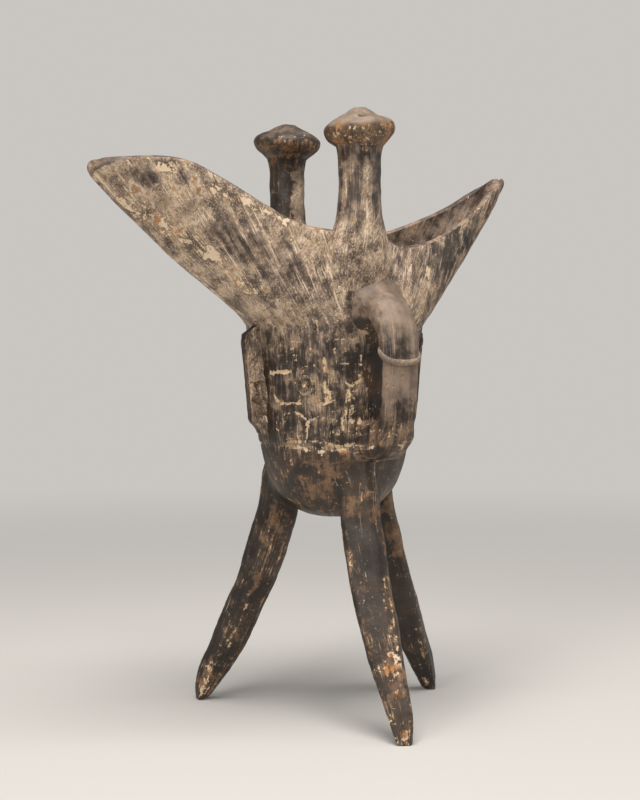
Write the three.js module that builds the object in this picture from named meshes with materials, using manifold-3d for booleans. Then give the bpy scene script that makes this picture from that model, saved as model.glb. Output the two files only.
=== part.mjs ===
// A jue: a three-legged pouring vessel, here in dark slipped and burnished earthenware.
// Millimetres, +Z up. The spout points to -X, the tail to +X and the handle to -Y.
// The potter's parts are shaped round the cup's own axis, and the finished group is then
// moved so that its origin is the bottom centre of its box.
import * as THREE from "three";
import { mergeVertices } from "three/addons/utils/BufferGeometryUtils.js";
import Module from "manifold-3d";

const wasm = await Module();
wasm.setup();

// Driving dimensions: the cup.
const cupFloorZ = 70.2;
const neckZ = 137;
const neckRadius = 30.6;
const sideRimZ = 167.4;
const mouthHalfWidth = 28.3;
const cupWall = 4.4;
const cupFloor = 5.4;
const lipWidth = 3.2;
const lipCrown = 0.8;
const neckBelly = 1;

// The spout and the tail, which are luted to the cup along two slanting seams.
const spoutReach = 88.8;
const spoutRise = 24;
const spoutBelly = 4;
const spoutSeamRim = 24;
const tailReach = 69.6;
const tailRise = 21.4;
const tailBelly = 6;
const tailSeamRim = 24;
const seamFoot = 4;
const jointGap = 0.3;

// The two posts that stand on the rim, each under a pointed cap.
const postOffset = -4.9;
const postSpread = 26.8;
const postSkirt = 6;
const postSkirtRadius = 9.4;
const postHeadHeight = 5.4;
const postFlare = 1.1;
const handleSidePost = { radius: 7.1, topZ: 197.1, capRadius: 11.8, capHeight: 12.9 };
const farSidePost = { radius: 6.2, topZ: 197.6, capRadius: 12, capHeight: 12.2 };

// The handle: a strap with a lug at its foot, and a hood over its upper bend.
const handleCentre = 1.2;
const strapWidth = 12.2;
const strapThickness = 4.8;
const strapReach = 45.8;
const strapFootZ = 92;
const lugTopZ = 108.5;
const hoodWidth = 14.4;
const hoodReach = 47;
const hoodTopZ = 149.4;
const hoodRootHeight = 12.6;
const hoodHemDepth = 7.6;
const collarZ = 127.8;
const collarHeight = 2.2;
const collarProud = 0.7;
const handleRoot = 5;

// The three narrow flanges that stand up the cup's wall.
const flangeThickness = 4;
const flangeFootZ = 98.8;
const flangeHeadZ = 137.4;
const flangeProud = 6;

// The four raised eyes of the two masks.
const eyeZ = 117;
const eyeRadius = 3.6;
const eyeRise = 1.1;
const pupilRadius = 1.6;
const pupilRise = 2;
const eyeAngle = 41.4;

// The three splayed legs.
const footRadius = 52.7;
const legTopZ = strapFootZ - 2 * jointGap;
const legSplay = 27.4;
const legDepth = 16;
const legWidth = 17.2;
const footWidth = 6;
const legAngles = { handle_side_leg: -91.8, spout_side_leg: 129.1, tail_side_leg: 18.4 };
const legTwist = { handle_side_leg: 12, spout_side_leg: 0, tail_side_leg: 0 };

// How finely the curved surfaces are divided.
const around = 72;
const bowlSteps = 10;
const wallSteps = 6;
const legSteps = 14;
const handleSteps = 12;
const turnSteps = 24;
const eyeSteps = 16;
const barSides = 16;
const cornerSharpness = 0.55;

const slip = new THREE.MeshStandardMaterial({ color: "#3a322b", roughness: 0.55, metalness: 0 });
const dustySlip = new THREE.MeshStandardMaterial({ color: "#75685a", roughness: 0.7, metalness: 0 });
const wornSlip = new THREE.MeshStandardMaterial({ color: "#4a3d33", roughness: 0.62, metalness: 0 });
const blackSlip = new THREE.MeshStandardMaterial({ color: "#2c2622", roughness: 0.5, metalness: 0 });

// Shapes and solids.

// A closed solid through a row of rings. A ring of one point is a pole.
function loft(rings) {
  const points = rings.flat();
  const starts = [];
  let count = 0;
  for (const ring of rings) {
    starts.push(count);
    count += ring.length;
  }
  const index = [];
  const at = (k, i) => starts[k] + (i % rings[k].length);
  for (let k = 0; k + 1 < rings.length; k += 1) {
    const steps = Math.max(rings[k].length, rings[k + 1].length);
    for (let i = 0; i < steps; i += 1) {
      if (rings[k].length > 1) index.push(at(k, i), at(k, i + 1), at(k + 1, i + 1));
      if (rings[k + 1].length > 1) index.push(at(k, i), at(k + 1, i + 1), at(k + 1, i));
    }
  }
  const geometry = new THREE.BufferGeometry().setFromPoints(points);
  geometry.setIndex(index);
  return geometry;
}

function solidOf(geometry) {
  const bare = geometry.clone();
  bare.deleteAttribute("normal");
  bare.deleteAttribute("uv");
  const merged = mergeVertices(bare, 1e-4);
  return new wasm.Manifold(new wasm.Mesh({
    numProp: 3,
    vertProperties: new Float32Array(merged.attributes.position.array),
    triVerts: new Uint32Array(merged.index.array),
  }));
}

function geometryOf(solid) {
  const mesh = solid.getMesh();
  const geometry = new THREE.BufferGeometry();
  geometry.setAttribute("position", new THREE.BufferAttribute(mesh.vertProperties, 3));
  geometry.setIndex(new THREE.BufferAttribute(mesh.triVerts, 1));
  geometry.computeVertexNormals();
  return geometry;
}

function centreOf(ring) {
  const centre = new THREE.Vector3();
  for (const point of ring) centre.add(point);
  return centre.divideScalar(ring.length);
}

// A plate cut to an outline of [distance from the axis, height] and set upright on the cup
// at an angle, with rounded long edges.
function standingPlate(outline, thickness, round, degrees) {
  const shape = new THREE.Shape(outline.map(([r, z]) => new THREE.Vector2(r, z)));
  const depth = thickness - 2 * round;
  const plate = new THREE.ExtrudeGeometry(shape, {
    depth,
    bevelThickness: round,
    bevelSize: round,
    bevelOffset: -round,
    bevelSegments: 3,
  });
  plate.translate(0, 0, -depth / 2);
  const angle = THREE.MathUtils.degToRad(degrees);
  const outwards = new THREE.Vector3(Math.cos(angle), Math.sin(angle), 0);
  const sideways = new THREE.Vector3(Math.sin(angle), -Math.cos(angle), 0);
  const up = new THREE.Vector3(0, 0, 1);
  return plate.applyMatrix4(new THREE.Matrix4().makeBasis(outwards, up, sideways));
}

// A bar between two curves of [distance from the axis, height], outer and inner, which are
// given point against point. Its section is a rectangle with well rounded corners.
function bentBar(outerPoints, innerPoints, width, steps) {
  const outer = curveThrough(outerPoints, steps);
  const inner = curveThrough(innerPoints, steps);
  const rings = outer.map(([outerR, outerZ], k) => {
    const [innerR, innerZ] = inner[k];
    return Array.from({ length: barSides }, (_, i) => {
      const turn = (i / barSides) * 2 * Math.PI;
      const share = (1 + roundedShare(Math.cos(turn))) / 2;
      return new THREE.Vector3(
        -roundedShare(Math.sin(turn)) * (width / 2),
        -THREE.MathUtils.lerp(innerR, outerR, share),
        THREE.MathUtils.lerp(innerZ, outerZ, share),
      );
    });
  });
  return loft([[centreOf(rings[0])], ...rings, [centreOf(rings.at(-1))]]);
}

function roundedShare(value) {
  return Math.sign(value) * Math.abs(value) ** cornerSharpness;
}

function curveThrough(points, steps) {
  const curve = new THREE.SplineCurve(points.map(([r, z]) => new THREE.Vector2(r, z)));
  return curve.getPoints(steps).map((point) => [point.x, point.y]);
}

// The vessel's wall.
// Its outline is in shares of the neck radius and of the height from floor to neck.
const bowlOutline = new THREE.SplineCurve([
  [0, 0],
  [0.22, 0.004],
  [0.43, 0.036],
  [0.62, 0.11],
  [0.745, 0.205],
  [0.825, 0.33],
  [0.866, 0.45],
  [0.895, 0.6],
  [0.93, 0.77],
  [0.97, 0.92],
  [1, 1],
].map(([r, z]) => new THREE.Vector2(r, z)));

// The rim from the middle of one side to the tip, in shares of the reach, of the mouth's
// half width and of the rise above the side rim.
const spoutRim = new THREE.CatmullRomCurve3([
  [0, 1, 0],
  [0.13, 0.96, 0.02],
  [0.27, 0.875, 0.11],
  [0.41, 0.78, 0.36],
  [0.57, 0.65, 0.72],
  [0.71, 0.53, 0.97],
  [0.845, 0.405, 1],
  [0.95, 0.265, 0.92],
  [0.995, 0.135, 0.84],
  [1, 0, 0.74],
].map(([x, y, z]) => new THREE.Vector3(-x * spoutReach, -y * mouthHalfWidth, sideRimZ + z * spoutRise)));

const tailRim = new THREE.CatmullRomCurve3([
  [0, 1, 0],
  [0.17, 0.9, -0.08],
  [0.34, 0.775, -0.06],
  [0.48, 0.625, 0.04],
  [0.62, 0.46, 0.22],
  [0.76, 0.31, 0.45],
  [0.88, 0.21, 0.8],
  [0.965, 0.145, 0.98],
  [1, 0.075, 1],
  [1, 0, 0.87],
].map(([x, y, z]) => new THREE.Vector3(x * tailReach, -y * mouthHalfWidth, sideRimZ + z * tailRise)));

// A point of the rim above an angle round the neck. depth goes from the outer edge of the
// lip, 0, to its inner edge, 1; grow swells the wall on both faces.
function rimPoint(angle, depth, grow) {
  const toSpout = Math.cos(angle) < 0;
  const share = Math.min(1, Math.abs(Math.asin(Math.cos(angle))) / (Math.PI / 2));
  const point = (toSpout ? spoutRim : tailRim).getPointAt(share);
  const side = Math.sin(angle) > 0 ? 1 : -1;
  const turn = THREE.MathUtils.smoothstep(share, 0.8, 1) * (Math.PI / 2);
  const inwards = new THREE.Vector3(0, -side * Math.cos(turn), Math.sin(turn));
  point.y *= -side;
  point.addScaledVector(inwards, depth * (lipWidth + 2 * grow) - grow);
  const crown = 4 * depth * (1 - depth) * lipCrown;
  point.z += crown * Math.cos(turn) + grow;
  point.x += (toSpout ? -1 : 1) * crown * Math.sin(turn);
  return point;
}

// The upper wall runs from the neck ring to the rim, a little full in the middle.
function wallPoint(angle, share, depth, radius, grow) {
  const neck = new THREE.Vector3(radius * Math.cos(angle), radius * Math.sin(angle), neckZ);
  const rim = rimPoint(angle, depth, grow);
  const across = Math.hypot(rim.x, rim.y) - radius;
  const rise = rim.z - neckZ;
  const length = Math.hypot(across, rise);
  const out = new THREE.Vector3(Math.cos(angle) * rise, Math.sin(angle) * rise, -across);
  const endBelly = Math.cos(angle) < 0 ? spoutBelly : tailBelly;
  const belly = THREE.MathUtils.lerp(neckBelly, endBelly, Math.abs(Math.cos(angle)));
  const middle = neck.clone().lerp(rim, 0.5).addScaledVector(out, belly / length);
  return new THREE.QuadraticBezierCurve3(neck, middle, rim).getPoint(share);
}

function ringOf(pointAt) {
  return Array.from({ length: around }, (_, i) => pointAt((i / around) * 2 * Math.PI));
}

function bowlRings(radius, floorZ) {
  const rings = [[new THREE.Vector3(0, 0, floorZ)]];
  for (let k = 1; k <= bowlSteps; k += 1) {
    const { x, y } = bowlOutline.getPointAt(k / bowlSteps);
    const z = floorZ + y * (neckZ - floorZ);
    rings.push(ringOf((angle) => new THREE.Vector3(
      x * radius * Math.cos(angle), x * radius * Math.sin(angle), z)));
  }
  return rings;
}

function wallRings(depth, radius, grow) {
  const rings = [];
  for (let k = 1; k <= wallSteps; k += 1) {
    rings.push(ringOf((angle) => wallPoint(angle, k / wallSteps, depth, radius, grow)));
  }
  return rings;
}

function outerRings(grow) {
  const radius = neckRadius + grow;
  return [...bowlRings(radius, cupFloorZ - grow), ...wallRings(0, radius, grow)];
}

function vesselShell(grow) {
  const radius = neckRadius - cupWall - grow;
  const crown = ringOf((angle) => rimPoint(angle, 0.5, grow));
  const inside = [...bowlRings(radius, cupFloorZ + cupFloor + grow), ...wallRings(1, radius, grow)];
  return solidOf(loft([...outerRings(grow), crown, ...inside.reverse()]));
}

// The vessel's outer form as a full solid, swollen by the joint gap: it shapes the faces
// by which legs, flanges, handle and eyes are luted to the wall.
function vesselBlank() {
  const rings = outerRings(jointGap);
  rings.push([new THREE.Vector3(0, 0, sideRimZ + spoutRise)]);
  return solidOf(loft(rings));
}

// Everything beyond a slanting seam plane that faces the spout, direction -1, or the tail, 1.
function beyondSeam(direction, rimShare, offset) {
  const size = 4 * spoutReach;
  const top = new THREE.Vector2(rimShare, sideRimZ);
  const foot = new THREE.Vector2(neckRadius + seamFoot, neckZ);
  const along = foot.clone().sub(top).normalize();
  const normal = new THREE.Vector3(-direction * along.y, 0, along.x);
  const block = new THREE.BoxGeometry(size, size, size).translate(size / 2 + offset, 0, 0);
  block.rotateY(-Math.atan2(normal.z, normal.x));
  block.translate(direction * top.x, 0, top.y);
  return solidOf(block);
}

const shell = vesselShell(0);
const blank = vesselBlank();
const spout = shell.intersect(beyondSeam(-1, spoutSeamRim, jointGap / 2));
const tail = shell.intersect(beyondSeam(1, tailSeamRim, jointGap / 2));
const cup = shell
  .subtract(beyondSeam(-1, spoutSeamRim, -jointGap / 2))
  .subtract(beyondSeam(1, tailSeamRim, -jointGap / 2));

// The cup's outer radius at a height on the straight part of its wall.
function cupRadiusAt(z) {
  const share = (z - cupFloorZ) / (neckZ - cupFloorZ);
  const points = bowlOutline.getPoints(200);
  const above = points.find((point) => point.y >= share) ?? points.at(-1);
  return above.x * neckRadius;
}

// Posts and caps, turned about their own upright axes.
function turned(profile, steps) {
  const outline = profile.map(([r, z]) => new THREE.Vector2(r, z));
  return new THREE.LatheGeometry(outline, steps).rotateX(Math.PI / 2);
}

// A skirt of clay spreads from the post over the rim and down both faces of the wall.
function postShaft(post) {
  const footZ = sideRimZ - postSkirt;
  const { radius, topZ } = post;
  const profile = [
    [0, footZ],
    ...curveThrough([
      [postSkirtRadius - 1.5, footZ],
      [postSkirtRadius, footZ + 1.6],
      [postSkirtRadius - 0.6, footZ + postSkirt],
      [radius + 0.9, footZ + postSkirt + 5],
      [radius, footZ + postSkirt + 12],
      [radius, topZ - postHeadHeight],
      [radius + postFlare, topZ],
    ], 12),
    [0, topZ],
  ];
  return turned(profile, turnSteps);
}

// The cap: a hollow-sided cone with a blunt point, a rounded brim and a coved underside.
function postCap(post) {
  const { radius, topZ, capRadius, capHeight } = post;
  const footZ = topZ + jointGap;
  const brimZ = footZ + postHeadHeight;
  const apexZ = topZ + capHeight;
  const profile = [
    [0, footZ],
    ...curveThrough([
      [radius + postFlare, footZ],
      [capRadius * 0.87, brimZ - 2.4],
      [capRadius, brimZ],
      [capRadius * 0.93, brimZ + 1.9],
      [capRadius * 0.66, brimZ + (apexZ - brimZ) * 0.45],
      [capRadius * 0.36, brimZ + (apexZ - brimZ) * 0.74],
      [capRadius * 0.17, apexZ - 0.5],
      [0, apexZ],
    ], 14),
  ];
  return turned(profile, turnSteps);
}

const swollenShell = vesselShell(jointGap);

function standOnRim(geometry, side) {
  return geometry.translate(postOffset, side * postSpread, 0);
}

// Handle parts run on into the cup's wall and are then cut to its form.
const handleInside = neckRadius - cupWall - handleRoot;
const strapInside = strapReach - strapThickness;
const strapTopZ = collarZ - jointGap;

const strapOuter = [
  [strapReach, strapTopZ],
  [strapReach, (strapTopZ + lugTopZ) / 2],
  [strapReach - 0.6, lugTopZ - 2],
  [strapReach - 3.4, strapFootZ + 5.4],
  [strapReach - 9, strapFootZ + 0.8],
  [handleInside, strapFootZ],
];
const strapInner = [
  [strapInside, strapTopZ],
  [strapInside, (strapTopZ + lugTopZ) / 2 + 1],
  [strapInside - 2.4, lugTopZ + 2.6],
  [strapInside - 8, lugTopZ],
  [handleInside + 4, lugTopZ - 0.4],
  [handleInside, lugTopZ - 1],
];

const hoodInside = hoodReach - hoodHemDepth;
const hoodOuter = [
  [handleInside, hoodTopZ],
  [neckRadius + 2, hoodTopZ - 0.2],
  [hoodReach - 7, hoodTopZ - 4],
  [hoodReach - 2, hoodTopZ - 11],
  [hoodReach, collarZ],
];
const hoodInner = [
  [handleInside, hoodTopZ - hoodRootHeight],
  [neckRadius + 1, hoodTopZ - hoodRootHeight + 0.6],
  [hoodInside - 2.6, hoodTopZ - hoodRootHeight - 1.4],
  [hoodInside - 0.4, hoodTopZ - hoodRootHeight - 4.6],
  [hoodInside, collarZ],
];

// The collar is the hood's raised hem, just above the strap.
const collarOuter = [
  [hoodReach + collarProud, collarZ + collarHeight],
  [hoodReach + collarProud, collarZ],
];
const collarInner = [
  [hoodInside - collarProud, collarZ + collarHeight],
  [hoodInside - collarProud, collarZ],
];

function handleBar(outer, inner, width, steps) {
  return solidOf(bentBar(outer, inner, width, steps).translate(handleCentre, 0, 0));
}

const strap = handleBar(strapOuter, strapInner, strapWidth, handleSteps).subtract(blank);
const hood = handleBar(hoodOuter, hoodInner, hoodWidth, handleSteps)
  .add(handleBar(collarOuter, collarInner, hoodWidth + 2 * collarProud, 1))
  .subtract(blank);

// A flange widens a little towards its foot, where its corner is cut away.
function flange(degrees) {
  const cornerZ = flangeFootZ + flangeProud;
  const middleZ = (flangeFootZ + flangeHeadZ) / 2;
  const outline = [
    [handleInside - 4, flangeHeadZ],
    [handleInside - 4, flangeFootZ],
    [cupRadiusAt(flangeFootZ) + flangeProud / 2, flangeFootZ],
    [cupRadiusAt(cornerZ) + flangeProud, cornerZ],
    [cupRadiusAt(middleZ) + flangeProud, middleZ],
    [cupRadiusAt(flangeHeadZ) + flangeProud, flangeHeadZ],
  ];
  return solidOf(standingPlate(outline, flangeThickness, 0.5, degrees)).subtract(blank);
}

// An eye: a low round cushion with a pointed pupil.
function eye(degrees) {
  const sunk = 2.5;
  const profile = [
    [0, -sunk],
    [eyeRadius, -sunk],
    [eyeRadius, eyeRise * 0.5],
    [eyeRadius * 0.86, eyeRise],
    [eyeRadius * 0.62, eyeRise],
    [pupilRadius, eyeRise * 0.6],
    [pupilRadius * 0.7, pupilRise],
    [0, pupilRise + 0.3],
  ];
  const geometry = turned(profile, eyeSteps).rotateY(Math.PI / 2);
  geometry.translate(cupRadiusAt(eyeZ), 0, eyeZ);
  geometry.rotateZ(THREE.MathUtils.degToRad(degrees));
  return solidOf(geometry).subtract(blank);
}

// A leg's outer edge, as [share of the splay, share of the height], and how deep the leg is
// behind it, as [share of the depth, share of the height].
const legOuterEdge = new THREE.SplineCurve([
  [-0.077, 0],
  [-0.088, 0.044],
  [-0.022, 0.131],
  [0.146, 0.241],
  [0.38, 0.405],
  [0.573, 0.53],
  [0.73, 0.689],
  [0.84, 0.777],
  [0.934, 0.941],
  [1, 1],
].map(([r, z]) => new THREE.Vector2(footRadius - r * legSplay, z * legTopZ)));

const legDepthAt = new THREE.SplineCurve([
  [0.26, 0],
  [0.5, 0.044],
  [0.76, 0.131],
  [0.9, 0.241],
  [0.93, 0.405],
  [0.94, 0.53],
  [1, 0.66],
  [0.96, 0.777],
  [0.86, 0.941],
  [0.8, 1],
].map(([depth, z]) => new THREE.Vector2(depth * legDepth, z * legTopZ)));

// Its section is a kite with a blunt outer ridge, as [share of the depth, share of the width].
const kite = [
  [0, 0.2],
  [0.33, 0.93],
  [0.42, 1],
  [0.5, 0.94],
  [0.98, 0.2],
  [1, 0],
];
const legSection = [
  ...kite,
  ...kite.slice(0, -1).reverse().map(([depth, width]) => [depth, -width]),
].reverse();

function edgeAt(edge, z) {
  const points = edge.getPoints(120);
  const k = Math.max(1, points.findIndex((point) => point.y >= z - 1e-6));
  const share = (z - points[k - 1].y) / (points[k].y - points[k - 1].y);
  return points[k - 1].x + share * (points[k].x - points[k - 1].x);
}

function leg(name) {
  const twist = THREE.MathUtils.degToRad(legTwist[name]);
  const rings = [];
  for (let k = 0; k <= legSteps; k += 1) {
    const z = legTopZ * (k / legSteps) ** 1.25;
    const outer = edgeAt(legOuterEdge, z);
    const inner = outer - edgeAt(legDepthAt, z);
    const swell = THREE.MathUtils.smoothstep(z / legTopZ, -0.12, 0.5);
    const halfWidth = (footWidth + (legWidth - footWidth) * swell) / 2;
    const middle = (outer + inner) / 2;
    rings.push(legSection.map(([depth, width]) => {
      const r = inner + depth * (outer - inner) - middle;
      const t = width * halfWidth;
      const turnedR = r * Math.cos(twist) - t * Math.sin(twist);
      const turnedT = r * Math.sin(twist) + t * Math.cos(twist);
      return new THREE.Vector3(middle + turnedR, turnedT, z);
    }));
  }
  const solid = loft([[centreOf(rings[0])], ...rings, [centreOf(rings.at(-1))]]);
  solid.rotateZ(THREE.MathUtils.degToRad(legAngles[name]));
  return solidOf(solid).subtract(blank);
}

// The assembly.
const jue = new THREE.Group();

function addPiece(name, solid, material) {
  const mesh = new THREE.Mesh(geometryOf(solid), material);
  mesh.name = name;
  jue.add(mesh);
}

addPiece("cup", cup, dustySlip);
addPiece("spout", spout, slip);
addPiece("tail", tail, slip);
for (const name of Object.keys(legAngles)) addPiece(name, leg(name), wornSlip);
addPiece("handle_strap", strap, blackSlip);
addPiece("handle_hood", hood, blackSlip);
addPiece("spout_side_flange", flange(180), wornSlip);
addPiece("tail_side_flange", flange(0), wornSlip);
addPiece("far_side_flange", flange(90), wornSlip);

const posts = [
  ["handle_side_post", handleSidePost, -1],
  ["far_side_post", farSidePost, 1],
];
for (const [name, post, side] of posts) {
  addPiece(name, solidOf(standOnRim(postShaft(post), side)).subtract(swollenShell), wornSlip);
  addPiece(`${name}_cap`, solidOf(standOnRim(postCap(post), side)), wornSlip);
}

const eyes = {
  eye_handle_spout_side: 180 + eyeAngle,
  eye_handle_tail_side: -eyeAngle,
  eye_far_spout_side: 180 - eyeAngle,
  eye_far_tail_side: eyeAngle,
};
for (const [name, degrees] of Object.entries(eyes)) addPiece(name, eye(degrees), wornSlip);

const box = new THREE.Box3().setFromObject(jue);
const centre = box.getCenter(new THREE.Vector3());
jue.position.set(-centre.x, -centre.y, -box.min.z);
jue.updateMatrixWorld(true);

export default jue;
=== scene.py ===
import math

import bmesh
import bpy
import numpy as np
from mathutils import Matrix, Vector, noise


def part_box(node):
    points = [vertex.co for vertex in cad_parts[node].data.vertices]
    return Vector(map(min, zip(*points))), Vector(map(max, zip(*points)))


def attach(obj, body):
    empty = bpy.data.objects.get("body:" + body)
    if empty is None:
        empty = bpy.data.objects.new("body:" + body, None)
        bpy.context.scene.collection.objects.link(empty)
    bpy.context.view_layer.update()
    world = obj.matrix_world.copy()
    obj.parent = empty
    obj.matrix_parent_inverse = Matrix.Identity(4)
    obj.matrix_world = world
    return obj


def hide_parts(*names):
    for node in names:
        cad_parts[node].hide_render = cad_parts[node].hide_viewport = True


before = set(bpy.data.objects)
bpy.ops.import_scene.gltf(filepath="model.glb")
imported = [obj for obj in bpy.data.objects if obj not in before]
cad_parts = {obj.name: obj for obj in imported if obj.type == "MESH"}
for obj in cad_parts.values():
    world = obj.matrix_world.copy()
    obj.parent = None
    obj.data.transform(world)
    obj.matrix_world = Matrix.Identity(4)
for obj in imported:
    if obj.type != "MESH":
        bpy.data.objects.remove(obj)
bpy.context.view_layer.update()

# The stage: a pale floor that fades into a pale background, a soft box overhead with two weak
# ones at the sides, and the photograph's viewpoint, a little above the vessel's middle.
MM = 0.001
CAMERA_PLACE = Vector((-283.9, -523.8, 139.7)) * MM
CAMERA_TARGET = Vector((-4.4, 2.3, 110.8)) * MM
FOCAL_LENGTH = 76.2
FLOOR_RADIUS = 3.0
FLOOR_SIDES = 64
FADE_START = 0.16
FADE_END = 0.85
PAPER = "#cfccc8"
BACKGROUND = "#c9c6c2"
SKY = "#ebe8e5"
SKY_STRENGTH = 0.26
LAMP_COLOUR = "#fffcf8"


def linear(hex_colour):
    """An sRGB hex colour as the linear RGBA that a socket takes."""
    channels = [int(hex_colour[i:i + 2], 16) / 255 for i in (1, 3, 5)]
    return [c / 12.92 if c <= 0.04045 else ((c + 0.055) / 1.055) ** 2.4 for c in channels] + [1.0]


def add_node(tree, kind, inputs=None, **settings):
    """A node of the kind with its settings; each input is linked to a socket or set to a value."""
    node = tree.nodes.new(kind)
    for name, value in settings.items():
        setattr(node, name, value)
    for key, value in (inputs or {}).items():
        if isinstance(value, bpy.types.NodeSocket):
            tree.links.new(value, node.inputs[key])
        else:
            node.inputs[key].default_value = value
    return node


def middle_of(node):
    """The middle of the box of a CAD node."""
    low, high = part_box(node)
    return (low + high) / 2


cup_axis = Vector((middle_of("far_side_flange").x, middle_of("spout_side_flange").y, 0))
scene = bpy.context.scene
scene.view_settings.view_transform = "Standard"
camera_data = bpy.data.cameras.new("camera")
camera_data.lens = FOCAL_LENGTH
camera = bpy.data.objects.new("camera", camera_data)
camera.location = CAMERA_PLACE + cup_axis
camera.rotation_euler = (CAMERA_TARGET - CAMERA_PLACE).to_track_quat("-Z", "Y").to_euler()
scene.collection.objects.link(camera)
scene.camera = camera

world = bpy.data.worlds.new("studio")
scene.world = world
world.use_nodes = True
sky = world.node_tree.nodes["Background"]
sky.inputs["Color"].default_value = linear(SKY)
sky.inputs["Strength"].default_value = SKY_STRENGTH
seen = add_node(world.node_tree, "ShaderNodeBackground", {"Color": linear(BACKGROUND)})
ray = add_node(world.node_tree, "ShaderNodeLightPath")
which = add_node(world.node_tree, "ShaderNodeMixShader", {
    0: ray.outputs["Is Camera Ray"], 1: sky.outputs[0], 2: seen.outputs[0]})
world.node_tree.links.new(which.outputs[0], world.node_tree.nodes["World Output"].inputs[0])


def soft_box(name, place, width, power):
    """A square lamp that faces the middle of the vessel."""
    data = bpy.data.lights.new(name, "AREA")
    data.size = width
    data.energy = power
    data.color = linear(LAMP_COLOUR)[:3]
    lamp = bpy.data.objects.new(name, data)
    lamp.location = place
    lamp.rotation_euler = (middle_of("cup") - lamp.location).to_track_quat("-Z", "Y").to_euler()
    scene.collection.objects.link(lamp)


soft_box("top_light", (-0.1, -0.22, 0.95), width=0.5, power=9.0)
soft_box("left_light", (-0.7, -0.5, 0.5), width=0.4, power=3.2)
soft_box("right_light", (0.7, -0.4, 0.35), width=0.4, power=1.4)

floor_mesh = bpy.data.meshes.new("floor")
turns = [2 * math.pi * k / FLOOR_SIDES for k in range(FLOOR_SIDES)]
floor_mesh.from_pydata(
    [(FLOOR_RADIUS * math.cos(turn), FLOOR_RADIUS * math.sin(turn), 0) for turn in turns],
    [], [range(FLOOR_SIDES)])
floor = bpy.data.objects.new("floor", floor_mesh)
scene.collection.objects.link(floor)
paper = bpy.data.materials.new("pale_paper")
paper.use_nodes = True
paper_tree = paper.node_tree
paper_shader = paper_tree.nodes["Principled BSDF"]
paper_shader.inputs["Base Color"].default_value = linear(PAPER)
paper_shader.inputs["Roughness"].default_value = 0.95
paper_place = add_node(paper_tree, "ShaderNodeTexCoord").outputs["Object"]
paper_reach = add_node(paper_tree, "ShaderNodeVectorMath", {0: paper_place}, operation="LENGTH")
paper_fade = add_node(paper_tree, "ShaderNodeMapRange", {
    "Value": paper_reach.outputs["Value"], "From Min": FADE_START, "From Max": FADE_END},
    interpolation_type="SMOOTHSTEP")
paper_gone = add_node(paper_tree, "ShaderNodeBsdfTransparent")
paper_mix = add_node(paper_tree, "ShaderNodeMixShader", {
    0: paper_fade.outputs["Result"], 1: paper_shader.outputs[0], 2: paper_gone.outputs[0]})
paper_tree.links.new(paper_mix.outputs[0], paper_tree.nodes["Material Output"].inputs["Surface"])
floor_mesh.materials.append(paper)

# The cup: a deep bowl pinched and coiled from buff clay, scraped smooth, dipped in a dark
# iron slip and burnished with a pebble before a smoky firing. Its upper wall carries a mask
# band scored with a point when leather hard, and is dusty with earth from the ground.
NECK_Z = 137.0
NECK_RADIUS = 30.6
SIDE_RIM_Z = 167.4
MOUTH_HALF_WIDTH = 28.3
CUP_WALL = 4.4
CUP_FLOOR = 5.4
LIP_WIDTH = 3.2
LIP_CROWN = 0.9
NECK_BELLY = 1.0
BOWL_LENGTH = 92.0
STROKES_SHORTENED = 3.2
STROKES_INSIDE = (0, 0, 200)
BAND_FOOT_Z = 96.6
BAND_HEAD_Z = 138.0
BAND_RISE = 0.3
LINE_HALF_WIDTH = 0.5
LINE_DEPTH = 0.5
SCORED_REACH = 24.0
DUST_FROM_Z = 122.0
DUST_FULL_Z = 148.0
SEAM_RIM = 24.0
SEAM_FOOT = 4.0
COLUMNS = 480
ROWS_UNDER_BAND = 32
ROWS_ON_BAND = 96
ROWS_OVER_NECK = 39
ROWS_INSIDE_NECK = 17
ROWS_INSIDE_BOWL = 18
AXIS = np.array(cup_axis) / MM
FLOOR_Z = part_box("cup")[0].z / MM


def smooth_curve(points, count):
    """A centripetal curve through the points, as a row of equally spaced points."""
    p = np.array(points, dtype=float)
    p = np.vstack([2 * p[0] - p[1], p, 2 * p[-1] - p[-2]])
    gaps = np.sqrt(np.linalg.norm(np.diff(p, axis=0), axis=1))
    s = np.linspace(0, 1, 40, endpoint=False)[:, None]
    stretches = []
    for i in range(1, len(p) - 2):
        before, here, after = gaps[i - 1:i + 2]
        leave = (p[i] - p[i - 1]) / before - (p[i + 1] - p[i - 1]) / (before + here)
        arrive = (p[i + 2] - p[i + 1]) / after - (p[i + 2] - p[i]) / (here + after)
        leave = leave * here + p[i + 1] - p[i]
        arrive = arrive * here + p[i + 1] - p[i]
        stretches.append((2 * s ** 3 - 3 * s ** 2 + 1) * p[i] + (s ** 3 - 2 * s ** 2 + s) * leave
                         + (3 * s ** 2 - 2 * s ** 3) * p[i + 1] + (s ** 3 - s ** 2) * arrive)
    return along(np.vstack([*stretches, p[-2]]), np.linspace(0, 1, count))


def along(line, shares):
    """The points at the given shares of a line's length."""
    steps = np.linalg.norm(np.diff(line, axis=0), axis=1)
    reached = np.concatenate([[0], np.cumsum(steps)])
    return np.stack([np.interp(shares, reached / reached[-1], column) for column in line.T], axis=-1)


def ease(value, low, high):
    """0 below low and 1 above high, with a smooth step between."""
    t = np.clip((value - low) / (high - low), 0, 1)
    return t * t * (3 - 2 * t)


def lumps(points, size, seed):
    """Smooth noise from -1 to 1 with lumps of the given size in millimetres."""
    shifted = points.reshape(-1, 3) / size + 37.3 * seed
    return np.array([noise.noise(p) for p in shifted.tolist()]).reshape(points.shape[:-1])


def unit(vectors):
    """The vectors, each brought to length 1."""
    return vectors / np.maximum(np.linalg.norm(vectors, axis=-1, keepdims=True), 1e-9)


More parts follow.
